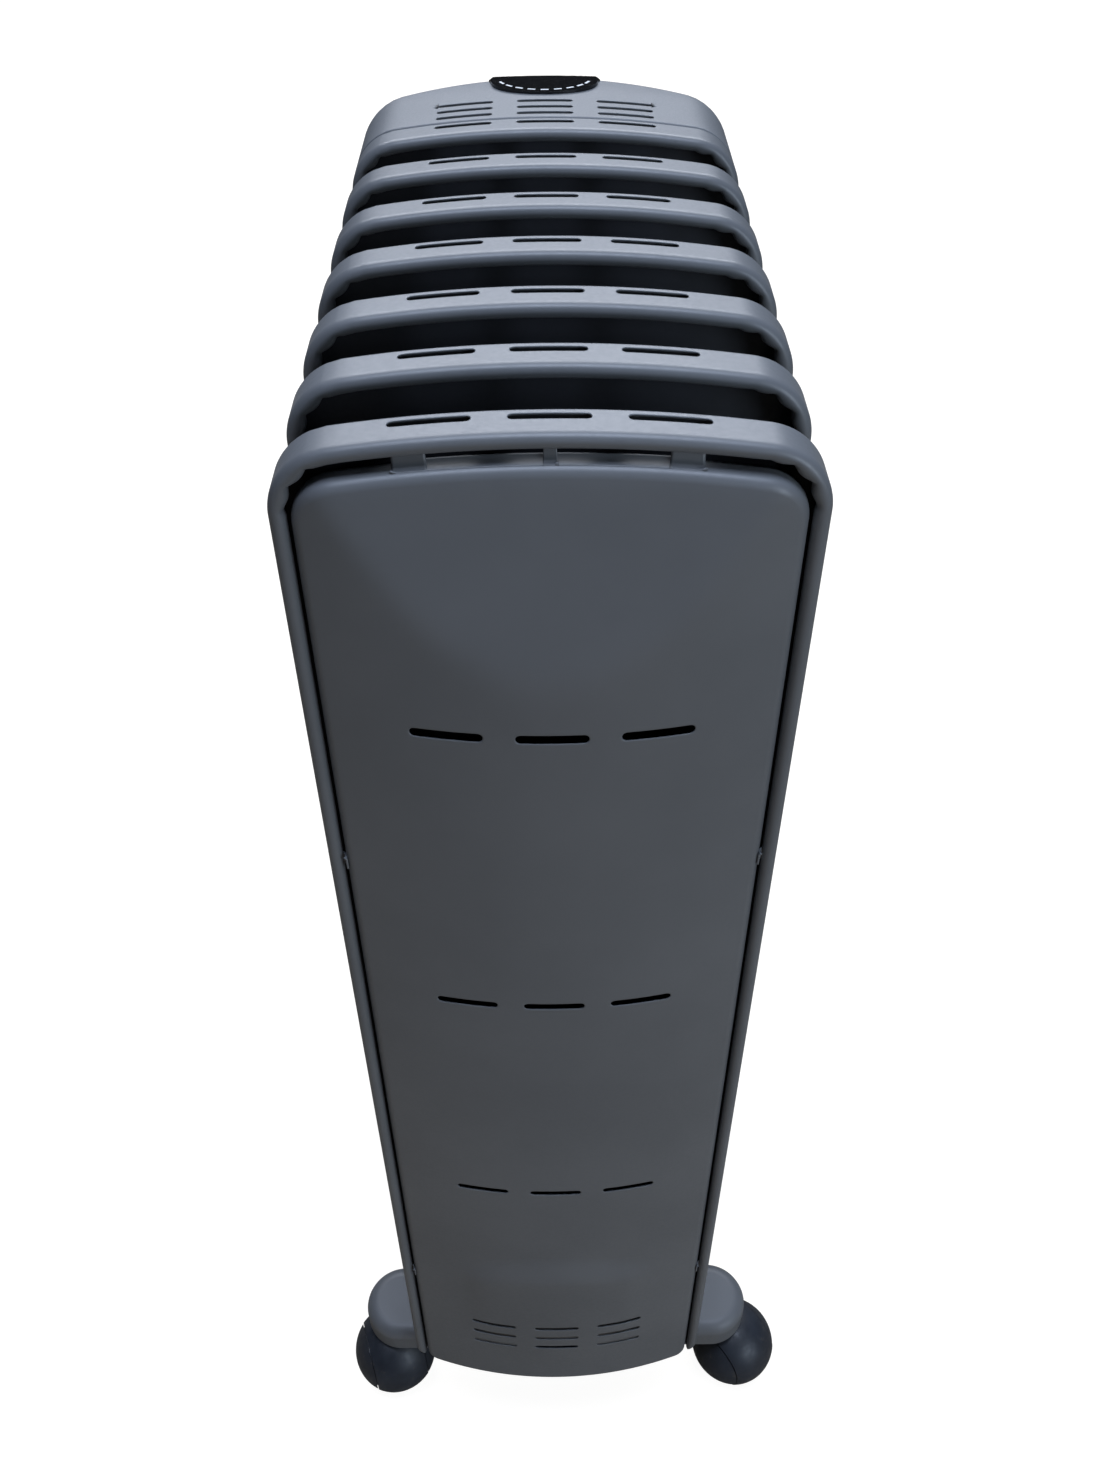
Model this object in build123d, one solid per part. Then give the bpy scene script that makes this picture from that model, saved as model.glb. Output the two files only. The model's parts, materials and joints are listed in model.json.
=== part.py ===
from build123d import *
from math import cos, radians, sin, sqrt
import os

# Oil-filled radiator with seven chimney fins, a front end cover, a rear control
# housing and two foot bars on four hooded ball castors. Millimetres, +Z up.
# The origin is on the floor, below the middle of the bounding box.
# X runs across the radiator, Y along the row of fins, front cover at low Y.

# Castors
hood_radius = 25.0
hood_wall = 1.8
hood_half_width = 15.5
hood_skirt = 10.0
core_half_width = 6.0
core_drop = 6.0
wheel_gap = 0.4
tread_gap = 0.5
wheel_lip_inset = 0.3
wheel_dome = 20.0
wheel_half_width = 24.4
wheel_dish = 3.2
wheel_rim = 4.5
wheel_hub_radius = 5.0
axle_radius = 2.0
axle_reach = 20.2
castor_trail = 10.0
stem_radius = 4.0
stem_grip = 18.0
stem_headroom = 1.5
neck_radius = 6.5
castor_x = 102.5
near_castor_turns = (18.0, 40.0)

# Foot bars
bar_height = 18.5
bar_half_length = 113.5
bar_half_width = 21.5
bar_wall = 2.6
bar_edge_radius = 7.5
bar_rib = 2.0
stem_boss_radius = 8.5
bolt_boss_radius = 5.5
hood_to_bar = 3.2

# Fins
fin_count = 7
fin_pitch = 40.0
fin_width = 161.0
fin_height = 600.0
fin_arch_radius = 435.0
fin_corner_radius = 22.0
fin_foot_radius = 12.0
fin_foot_wrap = 68.0
foot_notch_depth = 5.6
sheet = 1.0
rim_depth = 15.4
rim_roll_radius = 2.6
rim_lap = 3.0
channel_rise = 4.0
channel_width = 18.0
channel_half_span = 46.0
channel_draft = 20.0
hub_radius = 25.0
upper_hub_drop = 62.0
lower_hub_rise = 52.0
collar_radius = 18.0
bore_radius = 14.0
blind_wall = 2.5

# Slots, the same pattern in every piece
slot_length = 22.5
slot_height = 3.2
slot_pitch = 33.7
rim_slot_setback = 10.9

# End cover
cover_plan_radius = 217.0
cover_bulge = 13.3
cover_inset = 6.4
cover_top_inset = 8.8
cover_tuck = 5.0
cover_edge_radius = 3.5
cover_crease_radius = 120.0
cover_foot_gap = 1.0
scoop_foot_drop = 80.0
scoop_slope = 0.155
pad_rise = 3.0
pad_top_drop = 454.0
pad_band = 33.0
pad_band_radius = 156.0
pad_return = 105.0
pad_return_radius = 195.0
pad_half_width = 40.0
pad_fade = 14.0
cover_slot_drops = (100.0, 241.0, 386.0)
cover_vent_drops = (530.0, 542.3, 554.6)
tab_width = 6.0
top_tab_x = 36.0
side_tab_drops = (171.0, 491.0)

# Control housing
housing_depth = 55.5
housing_wall = 2.5
housing_plan_radius = 217.0
housing_edge_radius = 6.0
housing_slot_first = 5.9
housing_slot_step = 7.6
housing_slot_drops = (260.0, 386.0)
shield_setback = 6.4
shield_hole_radius = 27.5

# Fascia, knob and switches
fascia_half_width = 27.0
fascia_reach = 27.0
fascia_drop = 168.0
fascia_rise = 1.2
knob_drop = 122.0
knob_radius = 20.0
knob_base = 6.0
knob_height = 15.0
knob_grip = 9.0
knob_edge = 2.0
knob_draft = 4.0
knob_skin = 4.0
shaft_radius = 3.0
thermostat_size = (34.0, 22.0, 40.0)
switch_drop = 62.0
switch_spacing = 20.0
switch_size = (13.0, 19.6)
switch_depth = 18.0
bezel_border = 1.6
bezel_height = 2.2
rocker_angle = 9.0
rocker_radius = 8.6
rocker_width = 9.6
rocker_sink = 2.5
rocker_face = 2.0

# Heating element and inner parts
tube_radius = 3.5
tube_half_spacing = (5.5, 6.0)
tube_end_gap = 12.0
tube_tail = 7.0
flange_radius = 24.0
flange_thickness = 4.0
spigot_depth = 10.0
plug_radius = 5.0
plug_head_radius = 8.0
plug_head_height = 3.0
bead_length = 3.0
blade_length = 8.0
blade_width = 6.0
blade_thickness = 0.8
cutout_radius = 8.0
cutout_thickness = 5.0
cutout_blade_x = 4.0
block_size = (44.0, 16.0, 22.0)
block_drop = 330.0
block_hole_radius = 2.4
gland_bore_radius = 4.0
gland_length = 16.0
gland_head_radius = 9.0
gland_neck_radius = 6.5
gland_head_height = 3.0
gland_head_edge = 1.5
gland_x = 44.0
gland_drop = 470.0

# U-bolts
bolt_radius = 2.5
bolt_tail = 9.0
nut_height = 5.0
nut_radius = 5.2
wing_length = 9.0
wing_thickness = 2.4
wing_height = 7.0
wing_setback = 1.0

# Clearances
running = 0.05
fit = 0.02
seat = 0.3
slack = 0.15

# Derived levels
wheel_inner = core_half_width + wheel_gap
tread_radius = hood_radius - hood_wall - tread_gap
wheel_radius = sqrt(tread_radius**2 - wheel_inner**2)
ball_z = wheel_radius
bar_bottom = ball_z + hood_radius + hood_to_bar
bar_top = bar_bottom + bar_height
fin_bottom = bar_top + seat
fin_top = fin_bottom + fin_height
fin_half = fin_width / 2
upper_hub_z = fin_top - upper_hub_drop
lower_hub_z = fin_bottom + lower_hub_rise

# Derived stations along Y, with the box centred on the origin
row_length = (fin_count - 1) * fin_pitch + rim_depth
box_front = -cover_bulge - pad_rise
box_rear = row_length + seat + housing_depth + fascia_rise + seat + knob_height
row_front = -(box_front + box_rear) / 2
cover_front = row_front - cover_bulge
cover_back = row_front + cover_tuck
housing_front = row_front + row_length + seat
housing_rear = housing_front + housing_depth
fascia_face = housing_rear + fascia_rise
plate_back = rim_depth
plate_middle = rim_depth - sheet / 2
hub_back = plate_middle + channel_rise

os.makedirs("parts", exist_ok=True)


def fin_front(index):
    """Y of the front of one fin's rim, counted from 0."""
    return row_front + index * fin_pitch


def save(name, *solids):
    """Writes one node, as one solid or as a group of separate solids."""
    shape = solids[0] if len(solids) == 1 else Compound(children=list(solids))
    export_step(shape, f"parts/{name}.step")


def along_y(face, start, length):
    """A prism on an XZ face, from Y = start over a length towards +Y."""
    return extrude(Pos(0, start, 0) * face, amount=length, dir=(0, 1, 0))


def xz(sketch):
    """Stands a flat XY sketch up, with its Y axis along Z."""
    return Rot(90, 0, 0) * sketch


def rod(start, end, radius):
    """A round bar between two points."""
    start, end = Vector(*start), Vector(*end)
    return Solid.make_cylinder(radius, (end - start).length, Plane(start, z_dir=end - start))


def block(x, y, z):
    """A box from three (low, high) pairs."""
    size = [high - low for low, high in (x, y, z)]
    middle = [(high + low) / 2 for low, high in (x, y, z)]
    return Pos(*middle) * Box(*size)


def bow(x, radius):
    """How far a bowed face has fallen away at a distance from the middle."""
    return radius - sqrt(radius**2 - x**2)


def arc_through(centre, radius, start, end):
    """An arc in the XZ plane about a centre, between two angles in degrees."""
    points = []
    for angle in (start, (start + end) / 2, end):
        turn = radians(angle)
        points.append((centre[0] + radius * cos(turn), 0, centre[1] + radius * sin(turn)))
    return ThreePointArc(*points)


def arch_geometry(half_width, top, arch_radius, corner_radius):
    """Height of the corner's centre, and the angle where the corner meets the arch."""
    across = half_width - corner_radius
    reach = arch_radius - corner_radius
    rise = sqrt(reach**2 - across**2)
    corner_z = top - arch_radius + rise
    angle = Vector(1, 0, 0).get_angle(Vector(across, rise, 0))
    return corner_z, angle


def arched_top(half_width, top, arch_radius, corner_radius):
    """Left corner, crown and right corner of an arched outline, left to right."""
    corner_z, angle = arch_geometry(half_width, top, arch_radius, corner_radius)
    across = half_width - corner_radius
    left = arc_through((-across, corner_z), corner_radius, 180, 180 - angle)
    crown = arc_through((0, top - arch_radius), arch_radius, 180 - angle, angle)
    right = arc_through((across, corner_z), corner_radius, angle, 0)
    return [left, crown, right]


def arched_outline(half, foot, bottom, upper):
    """Face with the given arched top, straight sides and a flat, round-cornered foot."""
    right_foot = arc_through((half - foot, bottom + foot), foot, 0, -90)
    left_foot = arc_through((foot - half, bottom + foot), foot, -90, -180)
    return make_face(upper + [
        Line(upper[2] @ 1, right_foot @ 0),
        right_foot,
        Line((half - foot, 0, bottom), (foot - half, 0, bottom)),
        left_foot,
        Line(left_foot @ 1, upper[0] @ 0),
    ])


def fin_outline(inset=0.0):
    """Outline of the fin, or of a sheet set inside it."""
    half = fin_half - inset
    upper = arched_top(half, fin_top - inset, fin_arch_radius - inset, fin_corner_radius - inset)
    return arched_outline(half, fin_foot_radius - inset, fin_bottom + inset, upper)


def rim_path(front):
    """Line that the rim follows: round one foot corner, over the top, to the other."""
    upper = arched_top(fin_half, fin_top, fin_arch_radius, fin_corner_radius)
    foot_z = fin_bottom + fin_foot_radius
    foot_x = fin_half - fin_foot_radius
    left_foot = arc_through((-foot_x, foot_z), fin_foot_radius, 180 + fin_foot_wrap, 180)
    right_foot = arc_through((foot_x, foot_z), fin_foot_radius, 0, -fin_foot_wrap)
    edges = [left_foot, Line(left_foot @ 1, upper[0] @ 0)] + upper
    edges += [Line(upper[2] @ 1, right_foot @ 0), right_foot]
    return Pos(0, front, 0) * Wire(edges)


def rim_section():
    """Rim profile: depth along X, outward along Y, from the bend to the rolled lip."""
    roll = rim_roll_radius
    bend_x = rim_depth - sheet
    return make_face([
        Line((bend_x, 0), (roll, 0)),
        ThreePointArc((roll, 0), (0, -roll), (roll, -2 * roll)),
        Line((roll, -2 * roll), (roll, sheet - 2 * roll)),
        ThreePointArc((roll, sheet - 2 * roll), (sheet, -roll), (roll, -sheet)),
        Line((roll, -sheet), (bend_x, -sheet)),
        Line((bend_x, -sheet), (bend_x, -rim_lap)),
        Line((bend_x, -rim_lap), (rim_depth, -rim_lap)),
        Line((rim_depth, -rim_lap), (rim_depth, -sheet)),
        RadiusArc((rim_depth, -sheet), (bend_x, 0), sheet),
    ])


def fin_rim(front):
    """Deep rim wrapped forward from the fin's edge, with its lip rolled inward."""
    path = rim_path(front)
    start = Plane(origin=path @ 0, x_dir=(0, 1, 0), z_dir=path % 0)
    inner = fin_half - cover_inset + sheet
    notch = block((-inner, inner), (front - sheet, front + foot_notch_depth),
                  (fin_bottom - sheet, fin_bottom + fin_foot_radius))
    return sweep(start * rim_section(), path=path) - notch


def rounded_slot(length, height):
    """A slot outline with round ends, lying along X."""
    return SlotOverall(length, height)


def slot_row_x():
    """Middles of the three slots of a row."""
    return (-slot_pitch, 0, slot_pitch)


def channel_outline():
    """Oil channels: a ring of two risers and two headers, with a middle riser and hubs."""
    top = upper_hub_z
    bottom = lower_hub_z
    height = top - bottom
    outer = RectangleRounded(2 * channel_half_span + channel_width,
                             height + channel_width, channel_width)
    inner = RectangleRounded(2 * channel_half_span - channel_width,
                             height - channel_width, channel_width / 2)
    ring = Pos(0, (top + bottom) / 2) * (outer - inner)
    middle = Pos(0, (top + bottom) / 2) * Rectangle(channel_width, height)
    hubs = Pos(0, top) * Circle(hub_radius) + Pos(0, bottom) * Circle(hub_radius)
    return ring + middle + hubs


def fin(index):
    """One fin: welded sheets with raised oil channels, wrapped rim and air slots."""
    front = fin_front(index)
    first, last = index == 0, index == fin_count - 1
    plate = along_y(fin_outline(sheet), front + plate_back - sheet, sheet)
    middle = Plane.XZ.offset(-front - plate_middle)
    raised = extrude(middle * channel_outline(), amount=channel_rise, taper=channel_draft)
    raised += extrude(middle * channel_outline(), amount=-channel_rise, taper=channel_draft)
    body = fin_rim(front) + plate + raised
    for x in slot_row_x():
        slot = rounded_slot(slot_length, slot_height)
        cut = Pos(x, front + rim_slot_setback, fin_top - 3 * rim_roll_radius) * slot
        body -= extrude(cut, amount=4 * rim_roll_radius)
    hub_front = plate_middle - channel_rise
    for z in (upper_hub_z, lower_hub_z):
        low = front + hub_front + (blind_wall if first else -sheet)
        open_rear = not last or z == lower_hub_z
        high = front + hub_back + (sheet if open_rear else -blind_wall)
        body -= rod((0, low, z), (0, high, z), bore_radius)
    if first:
        body -= rod((0, front, upper_hub_z), (0, low + sheet, upper_hub_z), plug_radius + fit)
    return body


def collar(index, z):
    """Tube that carries the oil from one fin's hub to the next."""
    low = fin_front(index) + hub_back
    high = fin_front(index + 1) + plate_middle - channel_rise
    return rod((0, low, z), (0, high, z), collar_radius) - rod((0, low, z), (0, high, z), bore_radius)


def filler_plug():
    """Plug that closes the oil filling hole in the first fin's upper hub."""
    face = fin_front(0) + plate_middle - channel_rise
    stem = rod((0, face, upper_hub_z), (0, face + blind_wall, upper_hub_z), plug_radius)
    head = rod((0, face - plug_head_height, upper_hub_z), (0, face, upper_hub_z),
               plug_head_radius)
    return stem + head


def cover_outline(inset):
    """Outline of the end cover, set inside the rolled lip of the first rim."""
    half = fin_half - cover_inset - inset
    top_inset = cover_top_inset + inset
    upper = arched_top(half, fin_top - top_inset, fin_arch_radius - top_inset,
                       fin_corner_radius - cover_inset - inset)
    return arched_outline(half, fin_foot_radius - cover_inset - inset,
                          fin_bottom + cover_foot_gap + inset, upper)


def plan_disc(radius, axis_y):
    """Upright cylinder whose skin is the bowed face of a cover or housing."""
    over = fin_height / 10
    return Pos(0, axis_y, fin_bottom - over) * Cylinder(
        radius, fin_height + 2 * over, align=(Align.CENTER, Align.CENTER, Align.MIN))


def cover_face(inset):
    """Bowed face with its leaning scoop, wider than the cover."""
    lean = Plane(origin=(0, cover_front + inset, fin_top - scoop_foot_drop),
                 z_dir=(0, -1, scoop_slope))
    disc = plan_disc(cover_plan_radius - inset, cover_front + cover_plan_radius)
    bowed = split(disc, bisect_by=lean, keep=Keep.BOTTOM)
    crease = bowed.edges().filter_by(GeomType.ELLIPSE)
    return fillet(crease, cover_crease_radius - inset)


def leaning_disc(radius, front, z, slope):
    """Cylinder whose front line passes a height and comes forward as it falls."""
    upright = Vector(0, slope, 1).normalized()
    foot = Vector(0, front, z) + Vector(0, 1, -slope).normalized() * radius
    return Solid.make_cylinder(radius, 2 * fin_height,
                               Plane(foot - upright * fin_height, z_dir=upright))


def cover_pad(inset):
    """Pad low on the cover: sloping top band, then a long return to the face."""
    near = cover_front + inset
    band_top = fin_top - pad_top_drop
    pad = leaning_disc(pad_band_radius, near, band_top, pad_rise / pad_band)
    pad &= leaning_disc(pad_return_radius, near - pad_rise, band_top - pad_band,
                        -pad_rise / pad_return)
    outer_x = pad_half_width + pad_fade
    near_y = cover_front - pad_rise + bow(pad_half_width, pad_return_radius)
    far_y = cover_front + bow(outer_x, cover_plan_radius)
    for side in (-1, 1):
        normal = Vector(side * (far_y - near_y), -pad_fade, 0).normalized()
        edge = Vector(side * pad_half_width, near_y, 0) - normal * inset
        pad = split(pad, bisect_by=Plane(edge, z_dir=normal), keep=Keep.BOTTOM)
    return pad & block((-outer_x, outer_x), (cover_front - pad_rise, row_front),
                       (fin_bottom + fin_foot_radius, fin_top))


def cover_blank(inset):
    """Solid inside the cover's skin at a depth, without its slots."""
    outline = cover_outline(inset)
    prism = along_y(outline, cover_front, cover_back + inset - cover_front)
    body = prism & cover_face(inset)
    rim = skin_edges(body, outline, cover_front, cover_back)
    return fillet(rim, cover_edge_radius - inset) + cover_pad(inset)


def skin_edges(body, outline, low, high):
    """Edges where a bowed face meets its outline, between two stations along Y."""
    border = outline.face().outer_wire()
    edges = []
    for edge in body.edges():
        middle = edge @ 0.5
        on_border = border.distance_to(Vector(middle.X, 0, middle.Z)) < fit
        across = abs((edge % 0.5).Y) < 1 - fit
        if on_border and across and low < middle.Y < high - fit:
            edges.append(edge)
    return edges


def cover_tabs():
    """Hooks that hold the cover behind the rolled lip of the first rim."""
    low = row_front + rim_roll_radius + seat
    tabs = []
    for x in (-top_tab_x, 0, top_tab_x):
        far = abs(x) + tab_width / 2
        under_rim = fin_top - bow(far, fin_arch_radius) - sheet - seat
        tabs.append(block((x - tab_width / 2, x + tab_width / 2), (low, low + sheet),
                          (under_rim - cover_top_inset, under_rim)))
    reach = cover_inset - sheet - seat
    for drop in side_tab_drops:
        z = fin_top - drop
        for side in (-1, 1):
            edge = side * (fin_half - cover_inset)
            ends = sorted((edge - side * sheet, edge + side * reach))
            tabs.append(block(ends, (low, low + sheet), (z - tab_width / 2, z + tab_width / 2)))
    return tabs


def y_slots(drops, start, length):
    """Rows of three slots cut along Y at given drops below the top."""
    cuts = []
    for drop in drops:
        for x in slot_row_x():
            face = xz(rounded_slot(slot_length, slot_height))
            cuts.append(along_y(Pos(x, 0, fin_top - drop) * face, start, length))
    return cuts


def end_cover():
    """Pressed front cover: bowed face, leaning scoop, raised pad, slots and hooks."""
    skin = cover_blank(0) - cover_blank(sheet)
    for cut in y_slots(cover_slot_drops + cover_vent_drops, cover_front - pad_rise - sheet,
                       cover_bulge + sheet):
        skin -= cut
    for tab in cover_tabs():
        skin += tab
    return skin


def housing_blank(inset):
    """Solid inside the housing's skin at a depth, bowed at the rear."""
    start = housing_front if inset <= 0 else housing_front - sheet
    outline = fin_outline(inset)
    prism = along_y(outline, start, housing_depth + 2 * sheet)
    body = prism & plan_disc(housing_plan_radius - inset, housing_rear - housing_plan_radius)
    rim = skin_edges(body, outline, start + sheet, housing_rear + housing_wall)
    return fillet(rim, housing_edge_radius - inset)


def fascia_zone(clearance):
    """Column that the fascia fills: a half-moon on top, a round-footed tongue behind."""
    half = fascia_half_width + clearance
    reach = fascia_reach + clearance
    low = fin_top - fascia_drop - clearance
    moon = Pos(0, housing_rear, low) * Ellipse(half, reach)
    column = extrude(moon, amount=fascia_drop + 2 * housing_wall + clearance)
    tongue = Pos(0, 0, low + half) * xz(Circle(half))
    tongue = along_y(tongue, housing_front, 2 * housing_depth)
    upper = block((-half, half), (housing_front, housing_rear + fascia_reach),
                  (low + half, fin_top + 2 * housing_wall))
    return column & (tongue + upper)


def control_housing():
    """Rear shell: slotted roof, bowed and vented rear wall, opening for the fascia."""
    shell = housing_blank(0) - housing_blank(housing_wall)
    shell -= fascia_zone(slack)
    for row in range(3):
        y = housing_front + housing_slot_first + row * housing_slot_step
        for x in slot_row_x():
            slot = Pos(x, y, fin_top - 2 * housing_wall) * rounded_slot(slot_length, slot_height)
            shell -= extrude(slot, amount=3 * housing_wall)
    for cut in y_slots(housing_slot_drops + cover_vent_drops,
                       housing_rear - 2 * housing_edge_radius - housing_wall, housing_depth):
        shell -= cut
    z = fin_top - gland_drop
    shell -= rod((gland_x, housing_front + housing_depth / 2, z),
                 (gland_x, housing_rear + sheet, z), gland_neck_radius + slack)
    return shell


def switch_x():
    """Middles of the two switches."""
    return (-switch_spacing / 2, switch_spacing / 2)


def control_fascia():
    """Glossy cap over the housing's rear edge, pierced for the shaft and switches."""
    cap = (housing_blank(-fascia_rise) - housing_blank(housing_wall)) & fascia_zone(0)
    start = housing_rear - 2 * housing_wall
    z = fin_top - knob_drop
    cap -= rod((0, start, z), (0, fascia_face + sheet, z), shaft_radius + seat)
    wide, tall = (size + 2 * slack for size in switch_size)
    for x in switch_x():
        z = fin_top - switch_drop
        cap -= block((x - wide / 2, x + wide / 2), (start, fascia_face + sheet),
                     (z - tall / 2, z + tall / 2))
    return cap


def switch_body(x):
    """Switch case with a bezel on the fascia and a window for its rocker."""
    z = fin_top - switch_drop
    wide, tall = switch_size
    bezel_back = fascia_face + running
    bezel_front = bezel_back + bezel_height
    case = block((x - wide / 2, x + wide / 2), (bezel_back - switch_depth, bezel_front),
                 (z - tall / 2, z + tall / 2))
    border = bezel_border
    case += block((x - wide / 2 - border, x + wide / 2 + border), (bezel_back, bezel_front),
                  (z - tall / 2 - border, z + tall / 2 + border))
    half = rocker_width / 2 + seat
    window = block((x - half, x + half), (rocker_pivot_y(), bezel_front + sheet),
                   (z - rocker_radius - seat, z + rocker_radius + seat))
    well = rod((x - half, rocker_pivot_y(), z), (x + half, rocker_pivot_y(), z),
               rocker_radius + seat)
    return case - window - well


def rocker_pivot_y():
    """Y of the rockers' pivots, behind the bezel's front."""
    return fascia_face + running + bezel_height - rocker_sink


def rocker(x):
    """Rocker with two dished faces, resting with its upper end pressed in."""
    z = fin_top - switch_drop
    half = rocker_width / 2
    drum = rod((x - half, 0, 0), (x + half, 0, 0), rocker_radius)
    reach = 2 * rocker_radius
    dish = block((x - reach, x + reach), (0, reach), (-reach, reach))
    hollow = Rot(rocker_angle, 0, 0) * dish & Rot(-rocker_angle, 0, 0) * dish
    drum -= Pos(0, rocker_face, 0) * hollow
    return Pos(0, rocker_pivot_y(), z) * Rot(rocker_angle, 0, 0) * drum


def thermostat_rear():
    """Y of the thermostat's rear, just clear of the bowed wall."""
    skin = housing_plan_radius - housing_wall
    return housing_rear - housing_wall - bow(thermostat_size[0] / 2, skin) - seat


def thermostat_body():
    """Thermostat case behind the fascia, bored for its shaft."""
    wide, deep, tall = thermostat_size
    z = fin_top - knob_drop
    rear = thermostat_rear()
    case = block((-wide / 2, wide / 2), (rear - deep, rear), (z - tall / 2, z + tall / 2))
    return case - rod((0, rear - deep / 2, z), (0, rear + sheet, z), shaft_radius + running)


def thermostat_shaft():
    """Shaft from the thermostat through the fascia into the knob."""
    z = fin_top - knob_drop
    low = thermostat_rear() - thermostat_size[1] / 2 + seat
    high = fascia_face + knob_height - knob_skin
    return rod((0, low, z), (0, high, z), shaft_radius)


def thermostat_knob():
    """Round dial with a finger bar across it."""
    z = fin_top - knob_drop
    back = fascia_face + seat
    dial = rod((0, back, z), (0, back + knob_base, z), knob_radius)
    dial = fillet(dial.edges().sort_by(Axis.Y)[-1], knob_edge)
    bar = Pos(0, back, z) * xz(rounded_slot(2 * knob_radius - 2 * sheet, knob_grip))
    bar = extrude(bar, amount=knob_height, dir=(0, 1, 0), taper=knob_draft)
    knob = dial + bar
    top = fascia_face + knob_height - knob_skin
    return knob - rod((0, back - sheet, z), (0, top + seat, z), shaft_radius + fit)


def heat_shield():
    """Sheet behind the last fin that keeps its heat from the controls."""
    y = housing_front + shield_setback
    plate = along_y(fin_outline(housing_wall + seat), y, sheet)
    for z in (upper_hub_z, lower_hub_z):
        plate -= rod((0, y - sheet, z), (0, y + 2 * sheet, z), shield_hole_radius)
    return plate


def hub_face():
    """Y of the last fin's rear hub faces."""
    return fin_front(fin_count - 1) + hub_back


def element_tube(side):
    """One hairpin heater that runs through the lower hubs in the oil."""
    across, up = tube_half_spacing
    tail = hub_face() + flange_thickness + tube_tail
    far = fin_front(0) + plate_middle - channel_rise + blind_wall + tube_end_gap + up
    x = side * across
    low, high = lower_hub_z - up, lower_hub_z + up
    bend = ThreePointArc((x, far, high), (x, far - up, lower_hub_z), (x, far, low))
    path = Wire([Line((x, tail, high), (x, far, high)), bend, Line((x, far, low), (x, tail, low))])
    return sweep(Plane((x, tail, high), z_dir=(0, -1, 0)) * Circle(tube_radius), path=path)


def tube_places():
    """X and Z of the four tube legs."""
    across, up = tube_half_spacing
    return [(x, lower_hub_z + z) for x in (-across, across) for z in (-up, up)]


def element_flange():
    """Flange that closes the lower hub and carries the heaters."""
    y = hub_face()
    flange = rod((0, y, lower_hub_z), (0, y + flange_thickness, lower_hub_z), flange_radius)
    flange += rod((0, y - spigot_depth, lower_hub_z), (0, y, lower_hub_z), bore_radius - running)
    for x, z in tube_places():
        flange -= rod((x, y - 2 * spigot_depth, z), (x, y + 2 * spigot_depth, z),
                      tube_radius + fit)
    return flange


def blade(x, y, z):
    """Flat push-on blade that stands out along Y."""
    return block((x - blade_thickness / 2, x + blade_thickness / 2), (y, y + blade_length),
                 (z - blade_width / 2, z + blade_width / 2))


def element_terminals():
    """Insulator and blade on each tube end."""
    y = hub_face() + flange_thickness + tube_tail
    return [rod((x, y, z), (x, y + bead_length, z), tube_radius) + blade(x, y + bead_length, z)
            for x, z in tube_places()]


def thermal_cutout():
    """Disc cut-out on the last fin's upper hub, with two blades."""
    y = hub_face()
    body = rod((0, y, upper_hub_z), (0, y + cutout_thickness, upper_hub_z), cutout_radius)
    for x in (-cutout_blade_x, cutout_blade_x):
        body += blade(x, y + cutout_thickness, upper_hub_z)
    return body


def terminal_block():
    """Mains terminal block on the heat shield."""
    wide, deep, tall = block_size
    y = housing_front + shield_setback + sheet
    z = fin_top - block_drop
    body = block((-wide / 2, wide / 2), (y, y + deep), (z - tall / 2, z + tall / 2))
    for x in (-wide / 3, 0, wide / 3):
        for side in (-1, 1):
            hole_z = z + side * tall / 4
            body -= rod((x, y + deep / 3, hole_z), (x, y + deep + sheet, hole_z),
                        block_hole_radius)
    return body


def cord_gland():
    """Bushing in the rear wall where the mains cord enters."""
    z = fin_top - gland_drop
    face = housing_rear - bow(gland_x - gland_head_radius, housing_plan_radius) + seat
    rear = face + gland_head_height
    neck = rod((gland_x, rear - gland_length, z), (gland_x, face, z), gland_neck_radius)
    head = rod((gland_x, face, z), (gland_x, rear, z), gland_head_radius)
    head = fillet(head.edges().sort_by(Axis.Y)[-1], gland_head_edge)
    bore = rod((gland_x, face - gland_length, z), (gland_x, face + 2 * gland_length, z),
               gland_bore_radius)
    return neck + head - bore


def foot_bar(y):
    """Moulded bar, hollow below, with bosses for the castor stems and the U-bolt."""
    def pill(inset, low):
        face = SlotOverall(2 * (bar_half_length - inset), 2 * (bar_half_width - inset))
        solid = extrude(Pos(0, y, low) * face, amount=bar_top - inset - low)
        return fillet(solid.edges().group_by(Axis.Z)[-1], bar_edge_radius - inset)

    outer = pill(0, bar_bottom)
    levels = (bar_bottom + sheet, bar_top)
    inside = block((-bar_half_length, bar_half_length), (y - bar_rib / 2, y + bar_rib / 2), levels)
    for x in rib_places():
        inside += block((x - bar_rib / 2, x + bar_rib / 2),
                        (y - bar_half_width, y + bar_half_width), levels)
    for x in (-castor_x, castor_x):
        inside += rod((x, y, bar_bottom), (x, y, bar_top), stem_boss_radius)
    for x in (-bolt_leg_x(), bolt_leg_x()):
        inside += rod((x, y, bar_bottom), (x, y, bar_top), bolt_boss_radius)
    body = outer - pill(bar_wall, bar_bottom - sheet) + (inside & outer)
    for x in (-castor_x, castor_x):
        body -= rod((x, y, bar_bottom - sheet), (x, y, bar_bottom + stem_reach() + seat),
                    stem_radius + running)
    for x in (-bolt_leg_x(), bolt_leg_x()):
        body -= rod((x, y, bar_bottom - sheet), (x, y, bar_top + sheet), bolt_radius + slack)
    return body


def rib_places():
    """Cross ribs between the bolt bosses and the stem bosses."""
    inner, outer = bolt_leg_x(), castor_x
    step = (outer - inner) / 4
    return [side * (inner + step * count) for side in (-1, 1) for count in (1, 2, 3)]


def stem_reach():
    """How far a castor stem reaches up into its foot bar."""
    return bar_height - bar_wall - stem_headroom


def bolt_leg_x():
    """Distance of the U-bolt's legs from the middle plane."""
    return collar_radius + seat + bolt_radius


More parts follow.
